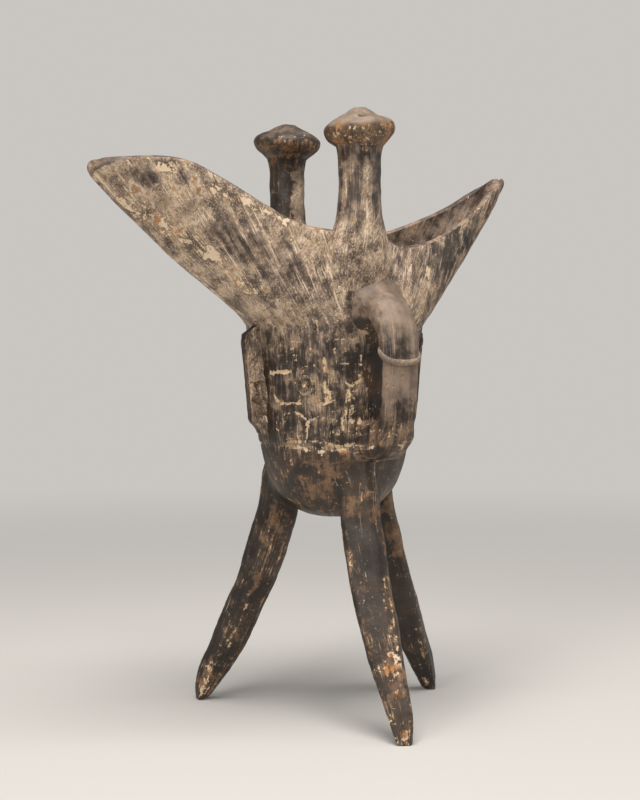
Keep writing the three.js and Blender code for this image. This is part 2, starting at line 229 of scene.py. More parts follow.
def gap_to(points, line):
    """The distance from each point to a line through the given corners."""
    corners = np.array(line, dtype=float)
    if len(corners) == 1:
        return np.linalg.norm(points - corners[0], axis=-1)
    gaps = []
    for start, end in zip(corners, corners[1:]):
        run = end - start
        share = np.clip((points - start) @ run / (run @ run), 0, 1)[..., None]
        gaps.append(np.linalg.norm(points - start - share * run, axis=-1))
    return np.min(gaps, axis=0)


def marked(points, marks):
    """The sum of marks, each [strength, reach in mm, (x, y, z), ...], with a ragged, faded edge."""
    total = np.zeros(points.shape[:-1])
    ragged = 0.9 * lumps(points, 4.5, 81) + 0.5 * lumps(points, 1.4, 82)
    for strength, reach, *line in marks:
        gap = gap_to(points, line) / reach + ragged
        total += strength * (1 - ease(gap, 0.4, 1.2))
    return total


# The wall's outline, in shares of the neck radius and of the height from floor to neck, and
# the rim's two halves, in shares of the reach, the mouth's half width and the rise.
BOWL = smooth_curve([
    (0, 0), (0.22, 0.004), (0.43, 0.036), (0.62, 0.11), (0.745, 0.205), (0.825, 0.33),
    (0.866, 0.45), (0.895, 0.6), (0.93, 0.77), (0.97, 0.92), (1, 1)], 400)
BOWL_Z = FLOOR_Z + BOWL[:, 1] * (NECK_Z - FLOOR_Z)
SPOUT_REACH = AXIS[0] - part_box("spout")[0].x / MM
SPOUT_RISE = 24.0
SPOUT_BELLY = 4.0
SPOUT_RIM = smooth_curve([
    (0, 1, 0), (0.13, 0.96, 0.02), (0.27, 0.875, 0.11), (0.41, 0.78, 0.36), (0.57, 0.65, 0.72),
    (0.71, 0.53, 0.97), (0.845, 0.405, 1), (0.95, 0.265, 0.92), (0.995, 0.135, 0.84),
    (1, 0, 0.74)], 400) * (-SPOUT_REACH, MOUTH_HALF_WIDTH, SPOUT_RISE)
TAIL_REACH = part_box("tail")[1].x / MM - AXIS[0] - 1.0
TAIL_RISE = 20.4
TAIL_BELLY = 6.0
TAIL_LEAN = 1.9
TAIL_RIM = smooth_curve([
    (0, 1, 0), (0.17, 0.9, -0.1), (0.34, 0.775, -0.04), (0.48, 0.625, 0.1), (0.62, 0.46, 0.3),
    (0.76, 0.31, 0.55), (0.88, 0.21, 0.85), (0.965, 0.145, 0.98), (1, 0.075, 1),
    (1, 0, 0.88)], 400) * (TAIL_REACH, MOUTH_HALF_WIDTH, TAIL_RISE)


def lip_turn(angle):
    """How far the lip leans from facing inwards, at the sides, to facing up, at the tips."""
    share = np.abs(np.arcsin(np.cos(angle))) / (math.pi / 2)
    return share, ease(share, 0.8, 1) * math.pi / 2


def rim_point(angle, depth):
    """A point of the lip, from its outer edge, depth 0, to its inner edge, depth 1."""
    share, turn = lip_turn(angle)
    to_spout = (np.cos(angle) < 0)[..., None]
    point = np.where(to_spout, along(SPOUT_RIM, share), along(TAIL_RIM, share))
    side = np.where(np.sin(angle) > 0, 1.0, -1.0)
    lean = np.where(to_spout[..., 0], 0, TAIL_LEAN)
    lean = lean * ease(share, 0.03, 0.2) * (1 - ease(share, 0.7, 1))
    point[..., 1] = side * (point[..., 1] - np.cos(turn) * depth * LIP_WIDTH)
    point[..., 2] += SIDE_RIM_Z + np.sin(turn) * depth * LIP_WIDTH + side * lean
    return point


def vessel(angle, height, inside):
    """A point of the smooth wall. height is -1 at the floor, 0 at the neck and 1 at the rim."""
    radius = NECK_RADIUS - inside * CUP_WALL
    floor_z = FLOOR_Z + inside * CUP_FLOOR
    around = np.stack([np.cos(angle), np.sin(angle)], axis=-1)
    outline = along(BOWL, np.clip(1 + height, 0, 1))
    bowl = np.concatenate([
        around * outline[..., :1] * radius, floor_z + outline[..., 1:] * (NECK_Z - floor_z)], axis=-1)
    neck = np.concatenate([around * radius, np.full(angle.shape + (1,), NECK_Z)], axis=-1)
    rim = rim_point(angle, inside)
    across = np.hypot(rim[..., 0], rim[..., 1]) - radius
    rise = rim[..., 2] - NECK_Z
    out = np.concatenate([around * rise[..., None], -across[..., None]], axis=-1)
    end_belly = np.where(np.cos(angle) < 0, SPOUT_BELLY, TAIL_BELLY)
    belly = NECK_BELLY + (end_belly - NECK_BELLY) * np.abs(np.cos(angle))
    middle = (neck + rim) / 2 + out * (belly / np.hypot(across, rise))[..., None]
    t = np.maximum(height, 0)[..., None]
    wall = (1 - t) ** 2 * neck + 2 * t * (1 - t) * middle + t ** 2 * rim
    return np.where((height < 0)[..., None], bowl, wall)


def vessel_normal(angle, height, inside):
    """The way out of the clay, straight off the smooth wall."""
    step = 0.004
    up = vessel(angle, height + step, inside) - vessel(angle, height - step, inside)
    on = vessel(angle + step, height, inside) - vessel(angle - step, height, inside)
    normal = unit(np.cross(on, up))
    normal[height < -0.995] = (0, 0, -1)
    return normal * (1 - 2 * inside)


# The mask's scored lines, for the quarter of the band between a flange and the handle, as
# [depth, (degrees from the flange, height), ...]. The other quarters mirror it. The deep
# ones are cut through the slip, and the shallow ones are nearly rubbed away.
SCORED_LINES = [
    [1.0, (13, 121), (30, 121.4)],
    [1.0, (14, 112.9), (20, 110.4), (37, 111)],
    [1.0, (54.6, 118.6), (55.9, 111.2)],
    [1.0, (51.4, 110.6), (62.4, 112.2)],
    [1.0, (54.2, 126), (55.4, 121.4)],
    [0.7, (57.2, 115.7), (57.2, 112.2)],
    [0.6, (63.4, 115.3), (59.2, 115.3), (59.4, 112.6)],
    [0.9, (33, 107.6), (38, 106.9), (42.3, 104.6), (50.7, 106.6)],
    [1.0, (42.3, 104.6), (42, 99.4)],
    [1.0, (68.8, 117.9), (71.9, 116.5), (79, 118.8)],
    [0.9, (71.3, 116), (72.2, 111)],
    [0.7, (73.5, 120), (79.5, 120.5)],
    [1.0, (67.3, 105.9), (68.1, 102)],
    [0.8, (70.2, 115.5), (70.3, 105.8)],
    [0.7, (73, 114.6), (77.5, 115.4)],
    [0.7, (70.3, 112.6), (76, 112.8)],
    [0.7, (70.3, 110), (75.5, 110.4), (75.3, 107.2)],
    [0.7, (70.3, 106.6), (77, 106.8)],
    [0.6, (73, 109), (73, 105)],
    [0.5, (28, 115.2), (28.4, 111.2)],
    [0.7, (36, 119.4), (36.6, 114.8)],
    [0.5, (35.6, 126), (35.7, 123.4)],
    [0.7, (36, 114.7), (37.3, 112)],
    [0.8, (50.4, 138.6), (51.5, 135.2)],
    [0.6, (38.5, 136), (52.5, 135.2)],
    [0.8, (69, 128.6), (69.3, 126.2)],
    [0.8, (24, 98.4), (38, 98), (50, 98.3), (58, 97.2)],
    [1.0, (57.7, 97.2), (66, 95.9), (77.4, 97.2)],
    [0.7, (14, 95.9), (34, 95.6), (52, 95.9), (66, 94.6)],
    [0.5, (22, 127.2), (46, 127.2), (46, 131.6), (24, 131.6), (24, 129.4), (40, 129.4)],
    [0.4, (23, 124.4), (33, 122.9), (48, 124), (52, 120.2)],
    [0.45, (12, 107), (29, 107), (29, 101.6), (15, 101.6), (15, 104.4), (24, 104.4)],
    [0.5, (58, 108.6), (78, 108.6), (78, 100.4), (61, 100.4), (61, 105.6), (73, 105.6)],
    [0.5, (60, 124.4), (80, 124.4), (80, 132.6), (62, 132.6), (62, 127.4), (75, 127.4)],
]
# Where the slip has come off the wall, where it is thin and lets the clay's warmth through,
# where it has stayed whole, where pale dust has caught, and where painted shade darkens a recess:
# each mark is [strength, reach, (x, y, z), ...] in millimetres round the cup's axis.
WALL_BARE = [
    [1.3, 2.4, (-71, -12.4, 188.4), (-66, -13.6, 187.4)],
    [0.8, 1.4, (-54.2, -17, 179.8)],
    [1.0, 1.5, (-55, -17.3, 182), (-42, -21, 176.5), (-30.4, -23.5, 171.3)],
    [0.8, 4.2, (-79, -3.5, 177), (-65, -7, 168.5), (-50.7, -10.7, 159.5)],
    [0.8, 1.3, (-55.6, -8.4, 163.4), (-52, -10.4, 160.2), (-49.6, -11.6, 157.6)],
    [1.1, 1.5, (-41.6, -18, 161), (-40.2, -18.6, 158.4)],
    [0.9, 3.0, (-41.2, -12.3, 151), (-36, -14.5, 149)],
    [0.9, 1.2, (-46, -10, 153.6)],
    [0.8, 2.0, (-89.4, -4.2, 188), (-89.4, 4, 188)],
    [1.4, 1.5, (23.1, -24.5, 154.1), (24.2, -24, 155.6)],
    [1.1, 0.8, (17.2, -25.6, 158.8), (9.8, -28.7, 148.5)],
    [0.9, 1.1, (20, -24.6, 150), (26, -22.4, 160)],
    [0.9, 2.0, (26, -17, 147), (42, -13, 166)],
    [1.3, 1.0, (-21.6, -14.5, 95.6), (-16, -19.5, 94.7), (-9, -24, 95)],
    [0.8, 2.2, (-12.7, -20.6, 88.2)],
    [0.8, 3.2, (-3.9, -25.2, 87), (-7.5, -22.7, 80)],
    [1.1, 1.5, (-7.6, -26.2, 105.6), (-2.7, -27.2, 104)],
]
WALL_THIN = [
    [1.5, 5.0, (-13, -20, 87.5), (-4, -23, 88)],
    [1.2, 4.0, (-14.5, -15, 81.5), (-5, -21, 80.5)],
    [0.8, 3.0, (-22, -14, 92), (-17, -18.5, 91)],
]
WALL_WHOLE = [
    [0.8, 7.0, (-49.6, -16.3, 169.5), (-40.6, -19.5, 162.5), (-30, -24, 157)],
    [0.8, 3.0, (-77, -10.1, 187.5), (-72, -11, 184)],
    [0.7, 2.6, (-63, -14.5, 186)],
    [0.7, 6.0, (30.7, -20.8, 160), (44, -13, 168)],
]
WALL_DUSTY = [
    [1.2, 4.0, (-90, -2, 187), (-84, -8, 189)],
    [0.8, 6.0, (-66, -11, 177), (-58, -13.5, 173)],
    [0.7, 3.0, (12, -29, 166), (22, -26.5, 163.5)],
]
# Painted shade: dark marks on the wall in the recess behind the strap, under the hood's root, beside
# the spout-side flange and beside the lug.
WALL_PAINTED_SHADE = [
    [4.0, 6.0, (1, -29.8, 133), (1.8, -28.6, 121.5), (2.5, -27.7, 112)],
    [1.0, 1.5, (-12, -31, 148), (-4.5, -32, 147.5), (3.5, -31, 148.5), (9.5, -28.6, 154)],
    [1.6, 1.8, (-28.6, -3.6, 134), (-27.4, -3.6, 116), (-26, -3.6, 99)],
    [1.3, 1.8, (-10, -29.6, 147), (-9.6, -29.6, 136)],
    [1.0, 1.4, (-6.4, -26.8, 104), (-6.4, -25.4, 95), (-3, -26, 91.5)],
]


def scoring(points):
    """How deeply the band is scored at each point, and how far inside a line's edge it lies."""
    degrees = np.abs(np.degrees(np.arctan2(points[:, 1], points[:, 0])))
    from_flange = 90 - np.abs(degrees - 90)
    wobble = 0.5 * lumps(points, 9, 21) + 0.12 * lumps(points, 1.6, 22)
    mm_per_degree = math.radians(NECK_RADIUS - 2)
    spot = np.stack([from_flange * mm_per_degree + wobble, points[:, 2] + wobble], axis=-1)
    faded = 0.35 * lumps(points, 3.5, 23) + 0.25 * lumps(points, 1.2, 24)
    deepest = np.zeros(len(points))
    inside = np.zeros(len(points))
    for depth, *line in SCORED_LINES:
        gap = gap_to(spot, np.array(line) * (mm_per_degree, 1))
        deepest = np.maximum(deepest, depth * ease(-gap, -LINE_HALF_WIDTH, -0.1))
        inside = np.maximum(inside, depth - gap - faded)
    return deepest, inside


def strokes_on(angle, height):
    """The wall rolled out: burnishing strokes run along the third axis, shorter on the bowl."""
    rim = rim_point(angle, 0.0)
    tall = np.hypot(np.hypot(rim[..., 0], rim[..., 1]) - NECK_RADIUS, rim[..., 2] - NECK_Z)
    bowl = BOWL_LENGTH * STROKES_SHORTENED
    up = bowl + height * np.where(height < 0, bowl, tall)
    return np.stack([NECK_RADIUS * np.cos(angle), NECK_RADIUS * np.sin(angle), up], axis=-1)


def wall_skin(angle, height, depth):
    """The real wall: hand-smoothed unevenness, a slightly proud band and its scored lines."""
    outer = vessel(angle, height, 0)
    inner = vessel(angle, height, 1)
    strokes = strokes_on(angle, height)
    uneven = (0.42 * lumps(outer, 15, 1) + 0.18 * lumps(outer, 5, 2)
              + 0.13 * lumps(strokes * (1, 1, 0.1), 2.4, 3))
    flat = outer.reshape(-1, 3)
    in_band = np.abs(flat[:, 2] - (BAND_FOOT_Z + BAND_HEAD_Z) / 2) < SCORED_REACH
    scored = np.zeros((2, len(flat)))
    scored[:, in_band] = scoring(flat[in_band])
    deep, cut = scored.reshape((2,) + angle.shape)
    ragged = 0.9 * lumps(outer, 3.5, 4) + 0.5 * lumps(outer, 1.4, 5)
    foot = ease(outer[..., 2] + ragged, BAND_FOOT_Z - 0.25, BAND_FOOT_Z + 0.35)
    band = foot * (1 - ease(outer[..., 2], BAND_HEAD_Z - 4, BAND_HEAD_Z + 2))
    crumbly_edge = 4 * foot * (1 - foot)
    outside = depth < 0.01
    whole = marked(outer, WALL_WHOLE)
    bare = marked(outer, WALL_BARE) - whole
    below = ease(-outer[..., 2], -BAND_FOOT_Z, 6 - BAND_FOOT_Z)
    straggling = outer[..., 2] + 3 * ragged
    dust = ease(straggling, DUST_FROM_Z, DUST_FULL_Z) * (1.1 - 0.8 * ease(outer[..., 0], 14, 32))
    calm = 0.9 * below + 0.45 * foot * (1 - ease(straggling, 125, 144)) + 0.3 * whole
    # Painted shade on the wall, laid on as dark colour through the soil coat.
    painted_shade = marked(outer, WALL_PAINTED_SHADE)
    thin = 0.3 * below + marked(outer, WALL_THIN)
    outer = outer + vessel_normal(angle, height, 0) * (
        uneven + BAND_RISE * band + 0.12 * crumbly_edge - LINE_DEPTH * deep)[..., None]
    inner = inner + vessel_normal(angle, height, 1) * (0.35 * lumps(inner, 12, 6))[..., None]
    turn = lip_turn(angle)[1]
    crown = LIP_CROWN * (1 - np.abs(2 * depth - 1) ** 2.6) * ease(height, 0.98, 1)
    point = outer * (1 - depth[..., None]) + inner * depth[..., None]
    point[..., 2] += crown * np.cos(turn)
    point[..., 0] += crown * np.sin(turn) * np.sign(np.cos(angle))
    lip = ease(height, 0.96, 1) * (0.25 + 0.45 * lumps(outer, 7, 7))
    fields = {
        "strokes": strokes + depth[..., None] * STROKES_INSIDE,
        "worn": outside * (0.3 * crumbly_edge + bare) + 0.8 * lip,
        "cut": cut * outside,
        "scored": band * outside,
        "dusty": np.where(outside, dust - whole + marked(outer, WALL_DUSTY) - 0.7 * below, 0.6),
        "smooth": np.where(outside, calm, 0.8),
        "thin": thin * outside,
        "proudness_and_painted_shade": -painted_shade * outside,
    }
    return point, fields


def stand_for(name, node, points, faces, fields, finish):
    """Makes a piece from points in millimetres round the cup's axis, and seats it in the frame."""
    mesh = bpy.data.meshes.new(name)
    mesh.from_pydata(((points + AXIS) * MM).tolist(), [], faces)
    for key, values in fields.items():
        kind, part = ("FLOAT_VECTOR", "vector") if values.ndim == 2 else ("FLOAT", "value")
        scale = MM if values.ndim == 2 else 1
        mesh.attributes.new(key, kind, "POINT").data.foreach_set(part, (values * scale).ravel())
    welded = bmesh.new()
    welded.from_mesh(mesh)
    bmesh.ops.remove_doubles(welded, verts=welded.verts, dist=1e-7)
    bmesh.ops.dissolve_degenerate(welded, edges=welded.edges, dist=1e-7)
    welded.to_mesh(mesh)
    welded.free()
    mesh.shade_smooth()
    mesh.set_sharp_from_angle(angle=math.radians(62))
    piece = bpy.data.objects.new(name, mesh)
    scene.collection.objects.link(piece)
    mesh.materials.append(finish)
    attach(piece, "root")
    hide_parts(node)


def grid_faces(rows, columns, close_rows, close_columns):
    """Quads between neighbouring rows and columns of a grid of points."""
    faces = []
    for r in range(rows if close_rows else rows - 1):
        low, high = r * columns, (r + 1) % rows * columns
        for c in range(columns if close_columns else columns - 1):
            on = (c + 1) % columns
            faces.append((low + c, low + on, high + on, high + c))
    return faces


def slipped_clay(slot, bloom, streaks, base_roughness):
    """Low-fired buff earthenware under a thin dark iron slip that was burnished with a pebble.
    The slip shows a soft sheen and fine strokes, takes a dusty grey bloom from the ground, and
    has flaked from edges and knocks, down to matt buff clay with rusty stains."""
    material = bpy.data.materials.new(slot + "_on_clay")
    material["slot"] = slot
    material.use_nodes = True
    tree = material.node_tree
    shader = tree.nodes["Principled BSDF"]
    found = {"always": 1.0}
    for key in ("strokes", "worn", "cut", "scored", "dusty", "film", "smooth", "thin", "proudness_and_painted_shade"):
        attribute = add_node(tree, "ShaderNodeAttribute", attribute_name=key)
        found[key] = attribute.outputs["Vector" if key == "strokes" else "Fac"]
    found["place"] = add_node(tree, "ShaderNodeTexCoord").outputs["Object"]
    # What each pattern follows, its turn in degrees and its stretch; then its features' size
    # in millimetres, detail and roughness. The clay's grain and the pebble's finest strokes
    # are under 0.1 mm wide on the real piece, and are drawn 0.4 mm wide so that they show.
    patterns = {
        "cloud": ("place", (0, 0, 0), (1, 1, 1), 12.0, 3, 0.55),
        "tint": ("place", (50, 20, 0), (1, 1, 1), 5.0, 4, 0.6),
        "mottle": ("place", (0, 0, 0), (1, 1, 1), 3.0, 9, 0.68),
        "flake": ("place", (0, 0, 0), (1, 1, 1), 1.1, 7, 0.7),
        "grain": ("place", (0, 0, 0), (1, 1, 1), 0.4, 2, 0.5),
        "long": ("strokes", (0, 0, 0), (1, 1, 14), 1.5, 8, 0.64),
        "fine": ("strokes", (0, 0, 0), (1, 1, 22), 0.4, 4, 0.6),
        "cross": ("strokes", (0, 0, 0), (10, 10, 1), 0.4, 4, 0.6),
        "slant": ("place", (0, 34, 28), (1, 1, 14), 0.42, 4, 0.6),
        "counter": ("place", (0, -52, 28), (1, 1, 12), 0.45, 4, 0.6),
    }
    for key, (follows, turn, stretch, size, detail, roughness) in patterns.items():
        space = add_node(tree, "ShaderNodeMapping", {
            "Vector": found[follows], "Rotation": [math.radians(t) for t in turn],
            "Scale": stretch}, vector_type="TEXTURE")
        found[key] = add_node(tree, "ShaderNodeTexNoise", {
            "Vector": space.outputs[0], "Scale": 1 / (size * MM), "Detail": detail,
            "Roughness": roughness}).outputs["Fac"]
    # What each mask adds up, then where it starts and is full, and its strength.
    masks = {
        "patches": ({"cloud": 0.6, "tint": 0.25, "long": 0.15}, (0.42, 0.58, 1.0)),
        "pale": ({"tint": 0.6, "fine": 0.15, "long": 0.2, "mottle": 0.15}, (0.46, 0.64, 1.0)),
        "stain": ({"tint": 0.6, "mottle": 0.2, "cloud": 0.2, "thin": 0.05}, (0.54, 0.62, 1.0)),
        "haze": ({"always": bloom, "dusty": 0.15, "cloud": 0.34, "tint": 0.1, "mottle": 0.24,
                  "long": 0.5, "fine": 0.16}, (0.63, 0.85, 0.93)),
        "filmed": ({"film": 0.8, "cloud": 0.5, "mottle": 0.5, "fine": 0.2}, (0.72, 1.3, 0.9)),
        "streaky": ({"long": 0.5, "fine": 0.5, "cloud": 0.35, "dusty": 0.04, "worn": 0.04,
                     "smooth": -0.1}, (0.7, 0.75, streaks)),
        "swept": ({"slant": 0.65, "tint": 0.1, "cloud": 0.15, "dusty": 0.045,
                   "smooth": -0.1}, (0.5, 0.58, 0.9)),
        "crossed": ({"counter": 0.65, "tint": 0.1, "cloud": 0.15, "dusty": 0.045,
                     "smooth": -0.1}, (0.505, 0.585, 0.85)),
        "rubbed_back": ({"counter": 0.3, "fine": 0.5, "dusty": 0.03,
                         "smooth": -0.06}, (0.44, 0.49, 0.9)),
        "drawn": ({"long": 0.65, "fine": 0.6, "tint": 0.15, "dusty": 0.03,
                   "smooth": -0.12}, (0.8, 0.835, 0.9)),
        "scratched": ({"fine": 0.6, "mottle": 0.3, "cloud": 0.3, "tint": 0.2, "scored": 0.06,
                       "smooth": -0.1}, (0.79, 0.83, 0.75)),
        "cross_scratched": ({"cross": 0.6, "mottle": 0.3, "cloud": 0.3, "tint": 0.2, "scored": 0.06,
                             "smooth": -0.1}, (0.8, 0.84, 0.75)),
        "wear": ({"mottle": 0.34, "long": 0.3, "cloud": 0.14, "flake": 0.34, "worn": 0.095,
                  "proudness_and_painted_shade": 0.02}, None),
        "thinned": ({"wear": 1.0, "thin": 0.06}, (0.575, 0.65, 0.85)),
        "bare": ({"wear": 1.0}, (0.645, 0.668, 1.0)),
        "flecks": ({"fine": 0.7, "flake": 0.2, "tint": 0.4, "dusty": 0.02, "worn": 0.04,
                    "smooth": -0.08}, (0.76, 0.785, 0.95)),
        "opened": ({"cut": 0.5, "flake": 1.6, "mottle": 0.8, "long": 0.5}, (1.7, 1.78, 0.95)),
        # Painted shade and soil: dark where the surface sinks into a crease or where shade is painted
        # in, with dark soil mottling besides.
        "soil_and_painted_shade": ({"proudness_and_painted_shade": -0.2, "mottle": 0.8, "cloud": 0.3}, (0.66, 0.9, 0.92)),
        "matt": ({"always": base_roughness, "haze": 0.22, "filmed": 0.06, "bare": 0.4,
                  "opened": 0.3, "mottle": 0.2}, None),
        "height": ({"bare": -0.11 * MM, "flecks": -0.05 * MM, "fine": 0.07 * MM, "flake": 0.2 * MM,
                    "grain": 0.07 * MM, "cross": 0.04 * MM, "haze": 0.03 * MM}, None),
    }
    for key, (parts, reach) in masks.items():
        total = 0.0
        for part, weight in parts.items():
            total = add_node(tree, "ShaderNodeMath", {0: found[part], 1: weight, 2: total},
                             operation="MULTIPLY_ADD").outputs[0]
        if reach:
            total = add_node(tree, "ShaderNodeMapRange", {
                "Value": total, "From Min": reach[0], "From Max": reach[1], "To Max": reach[2]},
                interpolation_type="SMOOTHSTEP").outputs[0]
        found[key] = total
    # The coats from the slip up: the mask that lays each on, and what varies its two colours.
    coats = [
        ("always", "patches", "#281f18", "#403328"),
        ("haze", "pale", "#66554b", "#a8927f"),
        # A grey film of dust, also used as painted sheen on the hood, the caps' tops and the posts'
        # stripes.
        ("filmed", "patches", "#786658", "#96816e"),
        ("streaky", "pale", "#9c846e", "#dcc1a3"),
        ("rubbed_back", "patches", "#2d241c", "#4c3f35"),
        ("swept", "pale", "#bba38b", "#f2dabe"),
        ("crossed", "pale", "#ab937b", "#dac0a2"),
        ("drawn", "pale", "#c7ae92", "#f0dabf"),
        ("scratched", "pale", "#8c7660", "#c4aa8a"),
        ("cross_scratched", "pale", "#8c7660", "#c4aa8a"),
        ("thinned", "pale", "#4b3728", "#8a6a4b"),
        # Painted shade in creases and recesses, over dark soil patches.
        ("soil_and_painted_shade", "patches", "#19120e", "#3f2917"),
        ("flecks", "stain", "#ead2b4", "#ba8a5f"),
        ("bare", "stain", "#ecd3b4", "#bf8655"),
        ("opened", "stain", "#e6caa4", "#c0905f"),
    ]
    colour = linear(coats[0][2])
    for mask, varied_by, first, second in coats:
        own = add_node(tree, "ShaderNodeMix", {
            0: found[varied_by], 6: linear(first), 7: linear(second)}, data_type="RGBA")
        colour = add_node(tree, "ShaderNodeMix", {
            0: found[mask], 6: colour, 7: own.outputs[2]}, data_type="RGBA").outputs[2]
    bump = add_node(tree, "ShaderNodeBump", {"Height": found["height"], "Distance": 1.0})
    for socket, source in {"Base Color": colour, "Roughness": found["matt"],
                           "Normal": bump.outputs["Normal"]}.items():
        tree.links.new(source, shader.inputs[socket])
    return material


dusty_slip = slipped_clay("dusty_slip", bloom=0.03, streaks=0.6, base_roughness=0.32)

angles = np.arange(COLUMNS) * 2 * math.pi / COLUMNS


def beyond_seam(points, direction):
    """How far points lie past a slanting seam, towards the spout, -1, or the tail, 1."""
    foot = np.array([NECK_RADIUS + SEAM_FOOT, NECK_Z])
    top = np.array([SEAM_RIM, SIDE_RIM_Z])
    run = unit(foot - top)
    return (points[..., 0] * direction - top[0]) * -run[1] + (points[..., 2] - top[1]) * run[0]


def seam_height(angle):
    """The height at which the spout or the tail was luted on, or 1 where the cup has its rim."""
    heights = np.linspace(0, 1, 200)
    grid = vessel(*np.broadcast_arrays(angle, heights[:, None]), 0)
    past = np.maximum(beyond_seam(grid, -1), beyond_seam(grid, 1)) > 0
    return np.where(past.any(axis=0), heights[np.argmax(past, axis=0)], 1.0)


def wall_grid(rows, around):
    """Angle, height and depth at each point of a grid, from (heights, depth) rows."""
    height = np.array([np.broadcast_to(h, len(around)) for h, d in rows])
    depth = np.array([np.full(len(around), float(d)) for h, d in rows])
    return np.broadcast_to(around, height.shape), height, depth


def with_poles(points, fields, faces, columns):
    """Adds a pole under the first row and over the last, closing a lofted form."""
    flat = points.reshape(-1, 3)
    poles = np.array([points[0].mean(axis=0), points[-1].mean(axis=0)])
    everywhere = {}
    for key, values in fields.items():
        ends = np.array([values[0].mean(axis=0), values[-1].mean(axis=0)])
        everywhere[key] = np.concatenate([values.reshape((-1,) + values.shape[2:]), ends])
    last_row = (len(points) - 1) * columns
    for c in range(columns):
        on = (c + 1) % columns
        faces.append((on, c, len(flat)))
        faces.append((last_row + c, last_row + on, len(flat) + 1))
    return np.vstack([flat, poles]), everywhere


tops = seam_height(angles)
band_share = np.interp(BAND_FOOT_Z - 3, BOWL_Z, np.linspace(0, 1, len(BOWL)))
bowl_rows = np.concatenate([
    np.linspace(0.012, band_share, ROWS_UNDER_BAND, endpoint=False),
    np.linspace(band_share, 1, ROWS_ON_BAND)]) - 1
lip_rows = np.array([0.08, 0.25, 0.5, 0.75, 0.92])
cup_rows = [(h, 0) for h in bowl_rows]
cup_rows += [(share * tops, 0) for share in np.linspace(0, 1, ROWS_OVER_NECK)[1:]]
cup_rows += [(tops, depth) for depth in lip_rows]
cup_rows += [(share * tops, 1) for share in np.linspace(1, 0, ROWS_INSIDE_NECK)[:-1]]
cup_rows += [(h, 1) for h in np.linspace(-0.02, -0.985, ROWS_INSIDE_BOWL)]
cup_points, cup_fields = wall_skin(*wall_grid(cup_rows, angles))
cup_faces = grid_faces(len(cup_rows), COLUMNS, close_rows=False, close_columns=True)
cup_points, cup_fields = with_poles(cup_points, cup_fields, cup_faces, COLUMNS)
stand_for("cup_wall", "cup", cup_points, cup_faces, cup_fields, dusty_slip)

# The spout and the tail: two open troughs, each shaped from a slab, luted to the cup along a
# slanting seam and burnished with long strokes towards its tip.
TROUGH_ROWS = 96
burnished_slip = slipped_clay("burnished_slip", bloom=0.04, streaks=0.75, base_roughness=0.3)


def trough(name, node, columns):
    """The wall beyond the seam, over the given columns, as one closed form."""
    seam = tops[columns]
    share = np.linspace(0, 1, TROUGH_ROWS)
    rows = [(seam + (1 - seam) * s, 0) for s in share]
    rows += [(np.ones(len(columns)), depth) for depth in lip_rows]
    rows += [(seam + (1 - seam) * s, 1) for s in share[::-1]]
    rows += [(seam, depth) for depth in lip_rows[::-1]]
    points, fields = wall_skin(*wall_grid(rows, angles[columns]))
    faces = grid_faces(len(rows), len(columns), close_rows=True, close_columns=False)
    flat_fields = {k: v.reshape((-1,) + v.shape[2:]) for k, v in fields.items()}
    stand_for(name, node, points.reshape(-1, 3), faces, flat_fields, burnished_slip)


# The columns past the seams. The tail's are counted from the handle's side, a quarter of the
# way round, so that they are in one run as the spout's are.
quarter = COLUMNS // 4
spout_side = [c for c in range(COLUMNS) if tops[c] < 1 and math.cos(angles[c]) < 0]
tail_side = sorted((c + quarter) % COLUMNS for c in range(COLUMNS)
                   if tops[c] < 1 and math.cos(angles[c]) > 0)
trough("spout_wall", "spout", np.arange(spout_side[0] - 1, spout_side[-1] + 2))
trough("tail_wall", "tail", (np.arange(tail_side[0] - 1, tail_side[-1] + 2) - quarter) % COLUMNS)

# The legs: three tapering blades of kite section, their blunt ridge outwards. Each was rolled
# and pressed from a lump, luted under the bowl with wet clay and bent out a little at its foot.
worn_slip = slipped_clay("worn_slip", bloom=-0.17, streaks=0.6, base_roughness=0.38)
FOOT_RADIUS = 52.7
LEG_TOP_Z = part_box("handle_side_leg")[1].z / MM
LEG_SPLAY = 27.4
LEG_DEPTH = 16.0
LEG_WIDTH = 17.2
FOOT_WIDTH = 6.0
LEG_ROOT = 1.6
LEG_FILLET = 2.4
LEG_ROWS = 180
LEG_SIDES = 96
EDGE_PASSES = 24
EDGE_STANDS = 0.14
